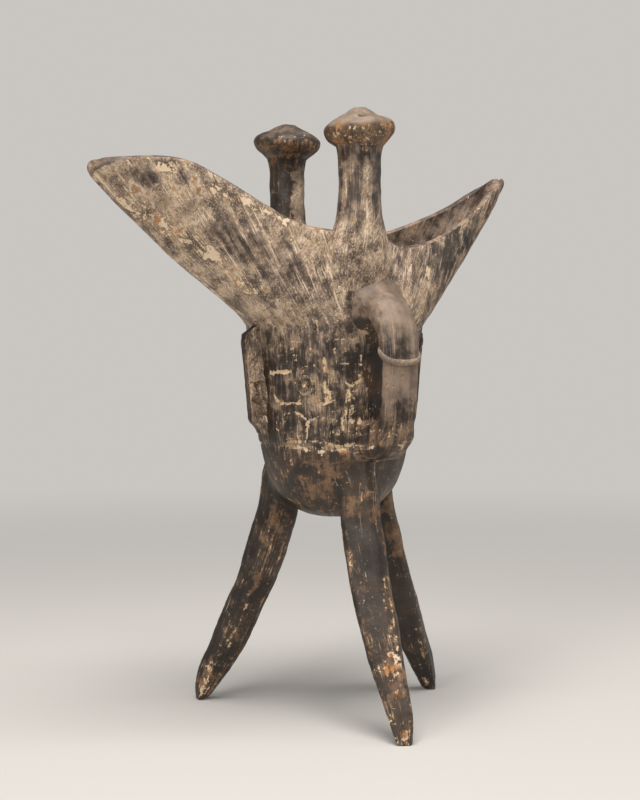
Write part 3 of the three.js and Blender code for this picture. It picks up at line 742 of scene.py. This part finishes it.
# Where each leg points, its twist and sideways bow, how dusty it is, and where its slip is
# bare, whole or thin.
LEGS = {
    "handle_side_leg": {
        "degrees": -91.8, "twist": 12.0, "bow": 0.0, "dusty": -0.4,
        "bare": [[0.7, 3.0, (-3, -45, 28), (-1, -48, 17)], [0.5, 2.0, (-6, -44, 25), (-5, -46, 20)],
                 [0.3, 1.0, (1.6, -33.4, 60), (2.6, -36.5, 46), (2.4, -43, 28)],
                 [0.5, 2.2, (-6.9, -32.4, 50)], [1.0, 1.6, (-2.9, -54, 2.7)]],
        "whole": [[0.8, 5.5, (-3, -31, 62), (-3.5, -34, 52)], [0.6, 4.0, (-4, -39, 38)],
                  [1.0, 3.0, (-4, -51, 10)]],
        "thin": [[1.5, 4.0, (-6, -24, 76), (0, -26, 73)],
                 [1.4, 1.8, (2.2, -30, 68), (3, -38, 46), (2, -46, 26)],
                 [1.2, 2.0, (-6.8, -31, 56), (-6.5, -34, 47)],
                 [1.3, 4.0, (-3, -46, 25), (-2, -48, 17)]]},
    "spout_side_leg": {
        "degrees": 129.1, "twist": 0.0, "bow": 0.0, "dusty": 0.55,
        "bare": [[0.5, 1.6, (-23.8, 21.5, 55), (-25.5, 22, 44)],
                 [0.8, 3.4, (-34.5, 36.5, 4), (-32.5, 34, 13)],
                 [0.7, 1.6, (-27.5, 31, 24), (-30, 36, 8)],
                 [0.6, 1.2, (-24, 20, 40), (-29, 27, 20)]],
        "whole": [[0.8, 4.0, (-23, 17, 57)], [0.5, 4.0, (-29, 30, 24)]],
        "thin": [[1.5, 3.4, (-16, 11, 74), (-19, 15, 62)],
                 [1.2, 1.6, (-22, 17, 48), (-27, 25, 24)],
                 [1.6, 4.0, (-34, 36, 4), (-31, 34, 14)]]},
    "tail_side_leg": {
        "degrees": 18.4, "twist": 0.0, "bow": -1.2, "dusty": 0.0,
        "bare": [[0.5, 2.0, (25.4, -0.6, 62)], [0.9, 1.8, (46.6, 12.9, 4)]],
        "whole": [[1.0, 4.5, (30.6, 3.6, 40), (35, 6, 26)]],
        "thin": [[2.0, 4.0, (22, -2, 74), (28, 1, 56)], [0.8, 2.0, (34, 3, 30)]]},
}
# How far the leg's ridge has come in from the foot, and how deep the leg is, both as shares,
# against the share of its height.
LEG_EDGE = smooth_curve([
    (-0.077, 0), (-0.088, 0.044), (-0.022, 0.131), (0.146, 0.241), (0.38, 0.405), (0.573, 0.53),
    (0.73, 0.689), (0.84, 0.777), (0.934, 0.941), (1, 1)], 300)
LEG_THICK = smooth_curve([
    (0.26, 0), (0.5, 0.044), (0.76, 0.131), (0.9, 0.241), (0.93, 0.405), (0.94, 0.53),
    (1, 0.66), (0.96, 0.777), (0.86, 0.941), (0.8, 1)], 300)
# Half of the kite section, from the leg's inner side to its ridge: depth and half width.
KITE = [(0, 0.2), (0.33, 0.93), (0.42, 1), (0.5, 0.94), (0.98, 0.2), (1, 0)]


def rounded_loop(corners, sides, passes):
    """A closed outline through the corners, with its edges worn round."""
    loop = along(np.array(corners + corners[:1], dtype=float), np.arange(sides) / sides)
    for _ in range(passes):
        loop = (np.roll(loop, 1, axis=0) + 2 * loop + np.roll(loop, -1, axis=0)) / 4
    return loop


def turned_by(points, degrees):
    """The points turned about the cup's axis."""
    c, s = math.cos(math.radians(degrees)), math.sin(math.radians(degrees))
    return points @ np.array([(c, s, 0), (-s, c, 0), (0, 0, 1)])


def against_wall(points, degrees):
    """Each point's distance out from the cup, whose outline is taken at the given angle."""
    heights = np.linspace(-1, 0.98, 420)
    outline = vessel(np.full(len(heights), math.radians(degrees)), heights, 0)
    line = np.stack([np.hypot(outline[:, 0], outline[:, 1]), outline[:, 2]], axis=-1)
    run = unit(np.gradient(line, axis=0))
    flat = np.stack([np.hypot(points[:, 0], points[:, 1]), points[:, 2]], axis=-1)
    nearest = np.argmin(((flat[:, None] - line[None]) ** 2).sum(axis=-1), axis=1)
    out = np.stack([run[nearest, 1], -run[nearest, 0]], axis=-1)
    gap = ((flat - line[nearest]) * out).sum(axis=-1)
    around = points[:, :2] / np.maximum(flat[:, :1], 1e-6)
    return gap, np.concatenate([around * out[:, :1], out[:, 1:]], axis=-1)


def seat_on_wall(rings, degrees, root, fillet):
    """Sinks a form's end just into the cup's wall, and spreads it there as wet clay is smoothed."""
    shape = rings.shape
    cores = np.broadcast_to(rings.mean(axis=1, keepdims=True), shape).reshape(-1, 3)
    points = rings.reshape(-1, 3)
    gap, out = against_wall(points, degrees)
    away = points - cores
    away = away - (away * out).sum(axis=-1, keepdims=True) * out
    away = away / np.maximum(np.linalg.norm(points - cores, axis=-1, keepdims=True), 1e-6)
    spread = np.clip(1 - gap / fillet, 0, 1.2) ** 2
    points = points + away * (fillet * spread)[:, None]
    gap, out = against_wall(points, degrees)
    points = points + out * np.maximum(-root - gap, 0)[:, None]
    return points.reshape(shape)


def loft_normals(rings):
    """The way out of a lofted form at each of its points."""
    on = np.roll(rings, -1, axis=1) - np.roll(rings, 1, axis=1)
    return unit(np.cross(on, np.gradient(rings, axis=0)))


def standing_proud(rings):
    """From -1 in a crease to 1 on a worn edge: how far each point stands off the form when it
    is smoothed a number of passes."""
    calm = rings
    for _ in range(EDGE_PASSES):
        rows = np.concatenate([calm[:1], calm, calm[-1:]])
        calm = (np.roll(calm, 1, axis=1) + np.roll(calm, -1, axis=1) + rows[:-2] + rows[2:]) / 4
    proud = ((rings - calm) * loft_normals(rings)).sum(axis=-1)
    return np.clip((proud - np.median(proud)) / EDGE_STANDS, -1, 1)


def handmade(rings, seed, uneven=0.3, pitted=0.12):
    """Gives a smooth form the slow unevenness, strokes and small pits of hand-worked clay."""
    lengths = np.linalg.norm(np.diff(rings.mean(axis=1), axis=0), axis=-1)
    up = np.concatenate([[0], np.cumsum(lengths)])[:, None]
    radius = np.linalg.norm(rings - rings.mean(axis=1, keepdims=True), axis=-1).mean()
    turn = np.arange(rings.shape[1]) * 2 * math.pi / rings.shape[1]
    strokes = np.stack(np.broadcast_arrays(
        radius * np.cos(turn), radius * np.sin(turn) + 100 * seed, up), axis=-1)
    bumps = (uneven * lumps(rings, 9, seed) + 0.5 * uneven * lumps(rings, 3.5, seed + 0.3)
             + pitted * lumps(strokes * (1, 1, 0.12), 1.8, seed + 0.6)
             + 0.5 * pitted * lumps(rings, 1.3, seed))
    return rings + loft_normals(rings) * bumps[..., None], strokes


def lofted(name, node, rings, strokes, finish, painted_shade=0.0, **fields):
    """A closed piece through a row of rings, with what its finish needs at every point."""
    shape = rings.shape[:2]
    # Painted shade: what is passed in to darken shaded faces lowers this attribute, and the soil coat
    # paints those faces dark.
    known = {"strokes": strokes, "proudness_and_painted_shade": standing_proud(rings) - painted_shade}
    known.update({key: np.broadcast_to(value, shape) for key, value in fields.items()})
    faces = grid_faces(*shape, close_rows=False, close_columns=True)
    points, known = with_poles(rings, known, faces, shape[1])
    stand_for(name, node, points, faces, known, finish)


other_half = [(depth, -width) for depth, width in KITE[-2::-1]]
leg_section = rounded_loop(KITE + other_half, LEG_SIDES, 7)[::-1]
share = np.concatenate([[0, 0.003, 0.008], np.linspace(0.016, 1, LEG_ROWS)])
foot_round = np.concatenate([[0.78, 0.93, 0.99], np.ones(LEG_ROWS)])
leg_outer = FOOT_RADIUS - LEG_SPLAY * np.interp(share, LEG_EDGE[:, 1], LEG_EDGE[:, 0])
leg_depth = LEG_DEPTH * np.interp(share, LEG_THICK[:, 1], LEG_THICK[:, 0])
leg_half_width = (FOOT_WIDTH + (LEG_WIDTH - FOOT_WIDTH) * ease(share, -0.12, 0.5)) / 2
for number, (node, leg) in enumerate(LEGS.items()):
    r = (leg_section[None, :, 0] - 0.5) * (leg_depth * foot_round)[:, None]
    t = leg_section[None, :, 1] * (leg_half_width * foot_round)[:, None]
    twist = math.radians(leg["twist"])
    rings = np.stack([
        (leg_outer - leg_depth / 2)[:, None] + r * math.cos(twist) - t * math.sin(twist),
        r * math.sin(twist) + t * math.cos(twist) + leg["bow"] * np.sin(math.pi * share)[:, None],
        np.broadcast_to((share * LEG_TOP_Z)[:, None], r.shape)], axis=-1)
    rings = seat_on_wall(turned_by(rings, leg["degrees"]), leg["degrees"], LEG_ROOT, LEG_FILLET)
    rings, strokes = handmade(rings, 11 + number)
    rings[..., 2] = np.maximum(rings[..., 2], 0)
    height = rings[..., 2]
    worn = marked(rings, leg["bare"]) - marked(rings, leg["whole"]) + 0.1 * ease(-height, -45, -10)
    lofted(node.replace("leg", "blade"), node, rings, strokes, worn_slip, worn=worn,
           dusty=leg["dusty"] * (1 - ease(height, 46, 62)), smooth=0.65,
           thin=marked(rings, leg["thin"]))

# The flanges: narrow upright fins that divide the mask band. Each was cut from a slab and
# luted on edge; knocks have broken the spout-side one down to its pale, granular clay.
FLANGE_THICKNESS = 4.0
FLANGE_PROUD = 6.0
FLANGE_HEAD_SLANT = 3.4
FLANGE_FOOT_SLANT = 1.4
FLANGE_ROWS = 90
FLANGE_SIDES = 72
FLANGES = {"spout_side_flange": 180, "tail_side_flange": 0, "far_side_flange": 90}


def wall_radius(z):
    """The bowl's outer radius at the given heights."""
    return np.interp(z, BOWL_Z, BOWL[:, 0] * NECK_RADIUS)


fin_section = rounded_loop([(-0.3, -1), (1, -1), (1, 1), (-0.3, 1)], FLANGE_SIDES, 3)
for number, (node, degrees) in enumerate(FLANGES.items()):
    low_z, high_z = (corner.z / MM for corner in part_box(node))
    rows = np.linspace(0, 1, FLANGE_ROWS)[:, None]
    proud = FLANGE_PROUD * (0.5 + 0.5 * ease(rows, 0, 0.16)) * (1 - 0.12 * ease(rows, 0.9, 1))
    outwards = np.maximum(fin_section[None, :, 0], 0)
    z = low_z + rows * (high_z - low_z) + outwards * (
        FLANGE_FOOT_SLANT * (1 - ease(rows, 0, 0.2)) - FLANGE_HEAD_SLANT * ease(rows, 0.75, 1))
    end_round = np.where((rows < 0.005) | (rows > 0.995), 0.86, 1.0)
    rings = np.stack([
        wall_radius(z) + fin_section[None, :, 0] * proud,
        fin_section[None, :, 1] * FLANGE_THICKNESS / 2 * end_round, z], axis=-1)
    rings = seat_on_wall(turned_by(rings, degrees), degrees, root=1.2, fillet=1.4)
    rings, strokes = handmade(rings, 21 + number, uneven=0.2, pitted=0.14)
    broken = np.zeros(rings.shape[:2])
    if node == "spout_side_flange":
        broken = ease(-rings[..., 1], 1.3, 1.9)
        rough = 0.6 * lumps(rings, 2.4, 32) + 0.3 * lumps(rings, 0.9, 33) - 0.3
        rings = rings + loft_normals(rings) * (broken * rough)[..., None]
    lofted(node.replace("flange", "fin"), node, rings, strokes, worn_slip,
           worn=-0.6 * broken, dusty=0.1 + 1.2 * broken, film=1.1 * broken,
           smooth=0.6 - 0.3 * broken, broken=broken)

# The eyes: four round pellets with a raised pupil, pressed on either side of the mask's face.
EYES = ["eye_handle_spout_side", "eye_handle_tail_side", "eye_far_spout_side", "eye_far_tail_side"]
EYE_PROFILE = smooth_curve([
    (4.0, -1.2), (3.9, -0.2), (3.5, 0.6), (2.9, 0.95), (2.2, 0.7), (1.7, 0.6), (1.35, 1.1),
    (0.8, 1.7), (0.12, 1.85)], 46)
EYE_SIDES = 56
eye_turn = np.arange(EYE_SIDES) * 2 * math.pi / EYE_SIDES
for number, node in enumerate(EYES):
    centre = np.array(middle_of(node)) / MM - AXIS
    degrees = math.degrees(math.atan2(centre[1], centre[0]))
    reach, rise = EYE_PROFILE[:, :1], EYE_PROFILE[:, 1:]
    sideways = reach * np.cos(eye_turn)
    rings = np.stack([
        wall_radius(centre[2]) + rise - sideways ** 2 / (2 * wall_radius(centre[2])),
        sideways, centre[2] + reach * np.sin(eye_turn)], axis=-1)
    # Pressed and not stroked, so the finish follows the place itself.
    rings = handmade(turned_by(rings, degrees), 41 + number, uneven=0.16, pitted=0.08)[0]
    lofted(node.replace("eye", "pellet"), node, rings, rings, worn_slip,
           worn=1.1 * ease(-reach, -1.3, -0.4) - 0.3, scored=0.8)

# The handle: a strap bent from a thick strip, with a lug at its foot, and a smooth trunk-like
# hood drawn over its upper bend that ends in a rolled hem.
HANDLE_CENTRE = 1.2
HANDLE_ROOT_R = 24.0
STRAP_WIDTH = 12.2
STRAP_REACH = -(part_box("handle_strap")[0].y / MM - AXIS[1])
STRAP_THICKNESS = 4.8
STRAP_FOOT_Z = 92.0
LUG_TOP_Z = 108.5
RIDGE_REACH = 41.0
RIDGE_SPACING = 6.2
RIDGE_HEIGHT = 0.7
HOOD_WIDTH = 14.4
HOOD_REACH = 47.0
HOOD_TOP_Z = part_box("handle_hood")[1].z / MM
HOOD_UNDER_Z = 138.0
HOOD_HEM_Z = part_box("handle_hood")[0].z / MM - 3.5
HEM_TILT = 6.0
HEM_RADIUS = 1.05
HEM_SUNK = 0.45
HEM_RING = -4
BAR_ROWS = 150
BAR_SIDES = 88


def bent_bar(outer, inner, width, squareness):
    """Rings between an outer and an inner curve of (distance from the axis, height)."""
    outer_line = smooth_curve(outer, BAR_ROWS)[:, None]
    inner_line = smooth_curve(inner, BAR_ROWS)[:, None]
    turn = np.arange(BAR_SIDES) * 2 * math.pi / BAR_SIDES
    across = np.sign(np.sin(turn)) * np.abs(np.sin(turn)) ** squareness
    out = (1 + np.sign(np.cos(turn)) * np.abs(np.cos(turn)) ** squareness) / 2
    spine = inner_line + (outer_line - inner_line) * out[None, :, None]
    x = np.broadcast_to(HANDLE_CENTRE - across * width / 2, spine.shape[:2])
    return np.stack([x, -spine[..., 0], spine[..., 1]], axis=-1)


strap_inside = STRAP_REACH - STRAP_THICKNESS
strap_rings = bent_bar(
    [(STRAP_REACH, 130), (STRAP_REACH, 118), (STRAP_REACH - 0.6, LUG_TOP_Z - 2),
     (STRAP_REACH - 3.4, STRAP_FOOT_Z + 5.4), (STRAP_REACH - 9, STRAP_FOOT_Z + 0.8),
     (HANDLE_ROOT_R, STRAP_FOOT_Z)],
    [(strap_inside, 133), (strap_inside, 119), (strap_inside - 1.4, LUG_TOP_Z + 2.6),
     (strap_inside - 6.5, LUG_TOP_Z - 1.6), (HANDLE_ROOT_R + 5, LUG_TOP_Z - 4),
     (HANDLE_ROOT_R, LUG_TOP_Z - 5)], STRAP_WIDTH, 0.6)
strap_rings = seat_on_wall(strap_rings, -90, root=1.0, fillet=1.2)
strap_rings, strap_strokes = handmade(strap_rings, 51, uneven=0.3, pitted=0.14)
on_lug = ease(-strap_rings[..., 2], -LUG_TOP_Z, -LUG_TOP_Z + 7) * ease(strap_rings[..., 2], 93, 97)
lug_ridges = np.cos((-strap_rings[..., 1] - RIDGE_REACH) * 2 * math.pi / RIDGE_SPACING)
sideways = strap_rings[..., 0] - HANDLE_CENTRE
side_face = ease(np.abs(sideways), 4.4, 5.8)
strap_rings[..., 0] += np.sign(sideways) * RIDGE_HEIGHT * lug_ridges * on_lug * side_face
# Painted shade on the strap's inner face, in the gap under the hood.
strap_inner = ease(strap_rings[..., 1], 0.6 - strap_inside, 2.4 - strap_inside)
strap_upper = ease(strap_rings[..., 2], 108, 116)
lofted("strap", "handle_strap", strap_rings, strap_strokes, burnished_slip,
       painted_shade=1.6 * strap_inner * strap_upper, worn=0.35 * on_lug - 0.3 * strap_upper,
       dusty=0.5 * strap_upper, film=0.7 * strap_upper, smooth=0.3 + 0.6 * strap_upper, thin=0.4)

hood_inside = HOOD_REACH - 7.6
hood_rings = bent_bar(
    [(HANDLE_ROOT_R, HOOD_TOP_Z - 2.2), (NECK_RADIUS + 2, HOOD_TOP_Z - 0.6),
     (HOOD_REACH - 7, HOOD_TOP_Z - 4), (HOOD_REACH - 2, HOOD_TOP_Z - 11), (HOOD_REACH, HOOD_HEM_Z)],
    [(HANDLE_ROOT_R, HOOD_UNDER_Z + 1), (NECK_RADIUS + 1, HOOD_UNDER_Z - 0.4),
     (hood_inside - 3.6, HOOD_UNDER_Z - 2.8), (hood_inside - 1.2, HOOD_UNDER_Z - 4.6),
     (hood_inside, HOOD_HEM_Z + HEM_TILT)], HOOD_WIDTH, 0.86)
hood_rings = seat_on_wall(hood_rings, -90, root=1.2, fillet=4.2)
hood_rings, hood_strokes = handmade(hood_rings, 52, uneven=0.22, pitted=0.06)
# Painted shade on the hood's underside, next to the wall.
hood_under = ease(hood_rings[..., 1], 0.5 - hood_inside, 3 - hood_inside)
hood_under = hood_under * ease(-hood_rings[..., 2], -141, -137)
# Painted sheen: the grey film grows towards the hood's top as a painted sheen over its grey bloom.
lofted("hood", "handle_hood", hood_rings, hood_strokes, burnished_slip,
       painted_shade=2.4 * hood_under, worn=-0.8, smooth=1.1, dusty=0.15,
       film=0.4 + 0.4 * ease(hood_rings[..., 2], 129, 145))

# The hem: a thin roll of clay pressed round the hood just above its open end.
hem_line = (hood_rings - HEM_SUNK * loft_normals(hood_rings))[HEM_RING]
hem_mesh = bpy.data.meshes.new("hem_line")
hem_mesh.from_pydata(((hem_line + AXIS) * MM).tolist(), [
    (k, (k + 1) % BAR_SIDES) for k in range(BAR_SIDES)], [])
for key, value in {"dusty": 1.0, "film": 1.2, "smooth": 0.6}.items():
    hem_mesh.attributes.new(key, "FLOAT", "POINT").data.foreach_set("value", [value] * BAR_SIDES)
hem_host = bpy.data.objects.new("hem_host", hem_mesh)
scene.collection.objects.link(hem_host)


def new_tree(name, *sizes):
    """A geometry node tree with geometry in and out, and an input for each named size."""
    tree = bpy.data.node_groups.new(name, "GeometryNodeTree")
    tree.interface.new_socket("Geometry", in_out="INPUT", socket_type="NodeSocketGeometry")
    for size in sizes:
        tree.interface.new_socket(size, in_out="INPUT", socket_type="NodeSocketFloat")
    tree.interface.new_socket("Geometry", in_out="OUTPUT", socket_type="NodeSocketGeometry")
    return tree


roll = new_tree("rolled_bead", "Radius")
roll_in = add_node(roll, "NodeGroupInput")
roll_path = add_node(roll, "GeometryNodeMeshToCurve", {"Mesh": roll_in.outputs["Geometry"]})
roll_even = add_node(roll, "GeometryNodeResampleCurve", {"Curve": roll_path.outputs[0], "Count": 160})
roll_section = add_node(roll, "GeometryNodeCurvePrimitiveCircle", {
    "Resolution": 20, "Radius": roll_in.outputs["Radius"]})
roll_body = add_node(roll, "GeometryNodeCurveToMesh", {
    "Curve": roll_even.outputs[0], "Profile Curve": roll_section.outputs[0]})
roll_place = add_node(roll, "GeometryNodeInputPosition")
roll_field = add_node(roll, "GeometryNodeStoreNamedAttribute", {
    "Geometry": roll_body.outputs[0], "Name": "strokes", "Value": roll_place.outputs[0]},
    data_type="FLOAT_VECTOR", domain="POINT")
roll_smooth = add_node(roll, "GeometryNodeSetShadeSmooth", {0: roll_field.outputs[0]})
roll_finish = add_node(roll, "GeometryNodeSetMaterial", {
    "Geometry": roll_smooth.outputs[0], "Material": burnished_slip})
add_node(roll, "NodeGroupOutput", {"Geometry": roll_finish.outputs[0]})


def grown(host, tree, name, settings):
    """Runs a node tree on the host object, and keeps its result as a plain piece of its own."""
    modifier = host.modifiers.new(tree.name, "NODES")
    modifier.node_group = tree
    for item in tree.interface.items_tree:
        if item.in_out == "INPUT" and item.name in settings:
            modifier[item.identifier] = settings[item.name]
    graph = bpy.context.evaluated_depsgraph_get()
    mesh = bpy.data.meshes.new_from_object(host.evaluated_get(graph))
    host.modifiers.remove(modifier)
    piece = bpy.data.objects.new(name, mesh)
    mesh.name = name
    scene.collection.objects.link(piece)
    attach(piece, "root")


grown(hem_host, roll, "hood_hem", {"Radius": HEM_RADIUS * MM})
bpy.data.objects.remove(hem_host)

# The posts and their caps: two stout pegs luted astride the rim, their feet smeared down both
# faces of the wall, each under a thick-brimmed cap like a mushroom's.
POST_X = -4.9
POST_SPREAD = 26.8
POST_SIDES = 96
POST_RADIUS = 7.1
CAP_TILT = 1.6
# Each post's side and radius, its cap's tilt, how worn and dusty the two are, how pale the cap's
# top is laid, as dust and as a painted highlight, and where pale stripes of dust run down the post,
# also laid there as painted highlights.
POSTS = {
    "handle_side_post": {
        "side": -1, "radius": 7.1, "tilt": (0.35, -0.25),
        "cap_worn": 0.55, "cap_top_dust_and_highlight": 1.3, "dusty": 0.3,
        "dust_and_highlight_stripes": [[1.4, 1.6, (-5.9, -33.7, 168), (-5.9, -33.7, 192)],
                    [1.0, 1.4, (-11.6, -28.6, 165), (-11.6, -28.6, 190)]]},
    "far_side_post": {
        "side": 1, "radius": 6.3, "tilt": (-0.2, 0.3),
        "cap_worn": -0.1, "cap_top_dust_and_highlight": 0.4, "dusty": -0.8,
        "dust_and_highlight_stripes": [[1.9, 4.2, (-2.8, 20.5, 160), (-2.2, 20.5, 190)]]},
}
# How the foot spreads: height, half width along the rim, reach outwards, reach inwards.
POST_SPREADING = smooth_curve([
    (144, 5.0, 1.2, 0.2), (147, 8.0, 2.4, 0.4), (151, 10.6, 3.9, 1.0), (156, 11.6, 5.4, 2.2),
    (161, 11.4, 6.4, 4.2), (165, 10.6, 6.9, 6.0), (168.4, 9.6, 7.2, 6.8), (173, 8.0, 7.2, 7.1),
    (179, 7.2, 7.1, 7.1), (188, 7.0, 7.0, 7.0), (194, 7.3, 7.3, 7.3), (198.5, 8.4, 8.4, 8.4)], 150)
# A cap's outline: reach from its middle, and height over its foot.
CAP_PROFILE = smooth_curve([
    (6.6, -1.6), (8.0, -0.2), (9.6, 1.3), (11.2, 3.2), (11.8, 5.2), (11.4, 6.8), (10, 8.2),
    (7.9, 9.4), (5.8, 10.5), (4.0, 11.7), (2.3, 12.7), (0.15, 13.1)], 90)
post_turn = np.arange(POST_SIDES) * 2 * math.pi / POST_SIDES
for number, (node, post) in enumerate(POSTS.items()):
    z, along_rim, outward, inward = (column[:, None] for column in POST_SPREADING.T)
    slim = (post["radius"] - POST_RADIUS) * ease(z, 150, 175)
    reach = np.where(np.sin(post_turn) * post["side"] > 0, outward, inward) + slim
    rings = np.stack(np.broadcast_arrays(
        POST_X + (along_rim + slim) * np.cos(post_turn),
        post["side"] * POST_SPREAD + reach * np.sin(post_turn), z), axis=-1)
    rings, strokes = handmade(rings, 61 + number, uneven=0.36, pitted=0.1)
    height = rings[..., 2]
    shaft = ease(height, 166, 176)
    # Painted highlights: pale stripes down the post, laid on as dust.
    dust_and_highlight_stripes = marked(rings, post["dust_and_highlight_stripes"])
    lofted(node.replace("post", "peg"), node, rings, strokes, dusty_slip,
           worn=0.35 * ease(height, 185, 197) - 0.3 * shaft, smooth=0.45 * shaft,
           dusty=1.15 + (post["dusty"] - 1.15) * shaft + 1.3 * dust_and_highlight_stripes, film=0.6 * dust_and_highlight_stripes,
           thin=0.7 * ease(height, 188, 196))
    cap_low, cap_high = (np.array(corner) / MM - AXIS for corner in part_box(node + "_cap"))
    tall = (cap_high[2] - cap_low[2]) / CAP_PROFILE[-1, 1]
    wide = (cap_high[0] - cap_low[0]) / 2 / CAP_PROFILE[:, 0].max()
    brim = ease(CAP_PROFILE[:, :1], 6, 11)
    tilt = CAP_TILT * (post["tilt"][0] * np.cos(post_turn) + post["tilt"][1] * np.sin(post_turn))
    rings = np.stack(np.broadcast_arrays(
        POST_X + wide * CAP_PROFILE[:, :1] * np.cos(post_turn),
        post["side"] * POST_SPREAD + wide * CAP_PROFILE[:, :1] * np.sin(post_turn),
        cap_low[2] + tall * CAP_PROFILE[:, 1:] + brim * tilt), axis=-1)
    rings = handmade(rings, 71 + number, uneven=0.5, pitted=0.2)[0]
    rings[..., 2] = np.minimum(rings[..., 2], cap_high[2])
    above_brim = ease(CAP_PROFILE[:, 1:] + 1.2 * lumps(rings, 5, 73), 4.5, 8)
    # Painted highlight: the cap's top is laid paler with the grey film, partly dust and partly a
    # painted highlight.
    lofted(node.replace("post", "cap"), node + "_cap", rings, rings, worn_slip,
           worn=post["cap_worn"] - (post["cap_worn"] + 0.6) * above_brim,
           dusty=0.5 * above_brim, film=post["cap_top_dust_and_highlight"] * above_brim, smooth=above_brim,
           thin=1.4 - 1.4 * above_brim)

# The clay's temper: coarse quartz and grog that stand out where the surface has broken away,
# on the rough side of the spout-side flange.
GRIT_SIZE = 0.34
GRIT_PER_SQUARE_METRE = 1.6e6
grit = new_tree("temper_grit", "Density", "Size")
grit_in = add_node(grit, "NodeGroupInput")
grit_where = add_node(grit, "GeometryNodeInputNamedAttribute", {"Name": "broken"}, data_type="FLOAT")
grit_density = add_node(grit, "ShaderNodeMath", {
    0: grit_where.outputs[0], 1: grit_in.outputs["Density"]}, operation="MULTIPLY")
grit_points = add_node(grit, "GeometryNodeDistributePointsOnFaces", {
    "Mesh": grit_in.outputs["Geometry"], "Density": grit_density.outputs[0], "Seed": 5})
grit_grain = add_node(grit, "GeometryNodeMeshIcoSphere", {
    "Radius": grit_in.outputs["Size"], "Subdivisions": 1})
grit_turn = add_node(grit, "FunctionNodeRandomValue", {
    0: (0, 0, 0), 1: (math.tau, math.tau, math.tau), "Seed": 6}, data_type="FLOAT_VECTOR")
grit_scale = add_node(grit, "FunctionNodeRandomValue", {
    0: (0.4, 0.5, 0.4), 1: (1, 1, 1), "Seed": 7}, data_type="FLOAT_VECTOR")
grit_set = add_node(grit, "GeometryNodeInstanceOnPoints", {
    "Points": grit_points.outputs["Points"], "Instance": grit_grain.outputs[0],
    "Rotation": grit_turn.outputs[0], "Scale": grit_scale.outputs[0]})
grit_real = add_node(grit, "GeometryNodeRealizeInstances", {0: grit_set.outputs[0]})
grit_place = add_node(grit, "GeometryNodeInputPosition")
grit_field = add_node(grit, "GeometryNodeStoreNamedAttribute", {
    "Geometry": grit_real.outputs[0], "Name": "strokes", "Value": grit_place.outputs[0]},
    data_type="FLOAT_VECTOR", domain="POINT")
grit_pale = add_node(grit, "GeometryNodeStoreNamedAttribute", {
    "Geometry": grit_field.outputs[0], "Name": "film", "Value": 1.2}, data_type="FLOAT", domain="POINT")
grit_finish = add_node(grit, "GeometryNodeSetMaterial", {
    "Geometry": grit_pale.outputs[0], "Material": dusty_slip})
add_node(grit, "NodeGroupOutput", {"Geometry": grit_finish.outputs[0]})
grown(bpy.data.objects["spout_side_fin"], grit, "temper_grains",
      {"Density": GRIT_PER_SQUARE_METRE, "Size": GRIT_SIZE * MM})
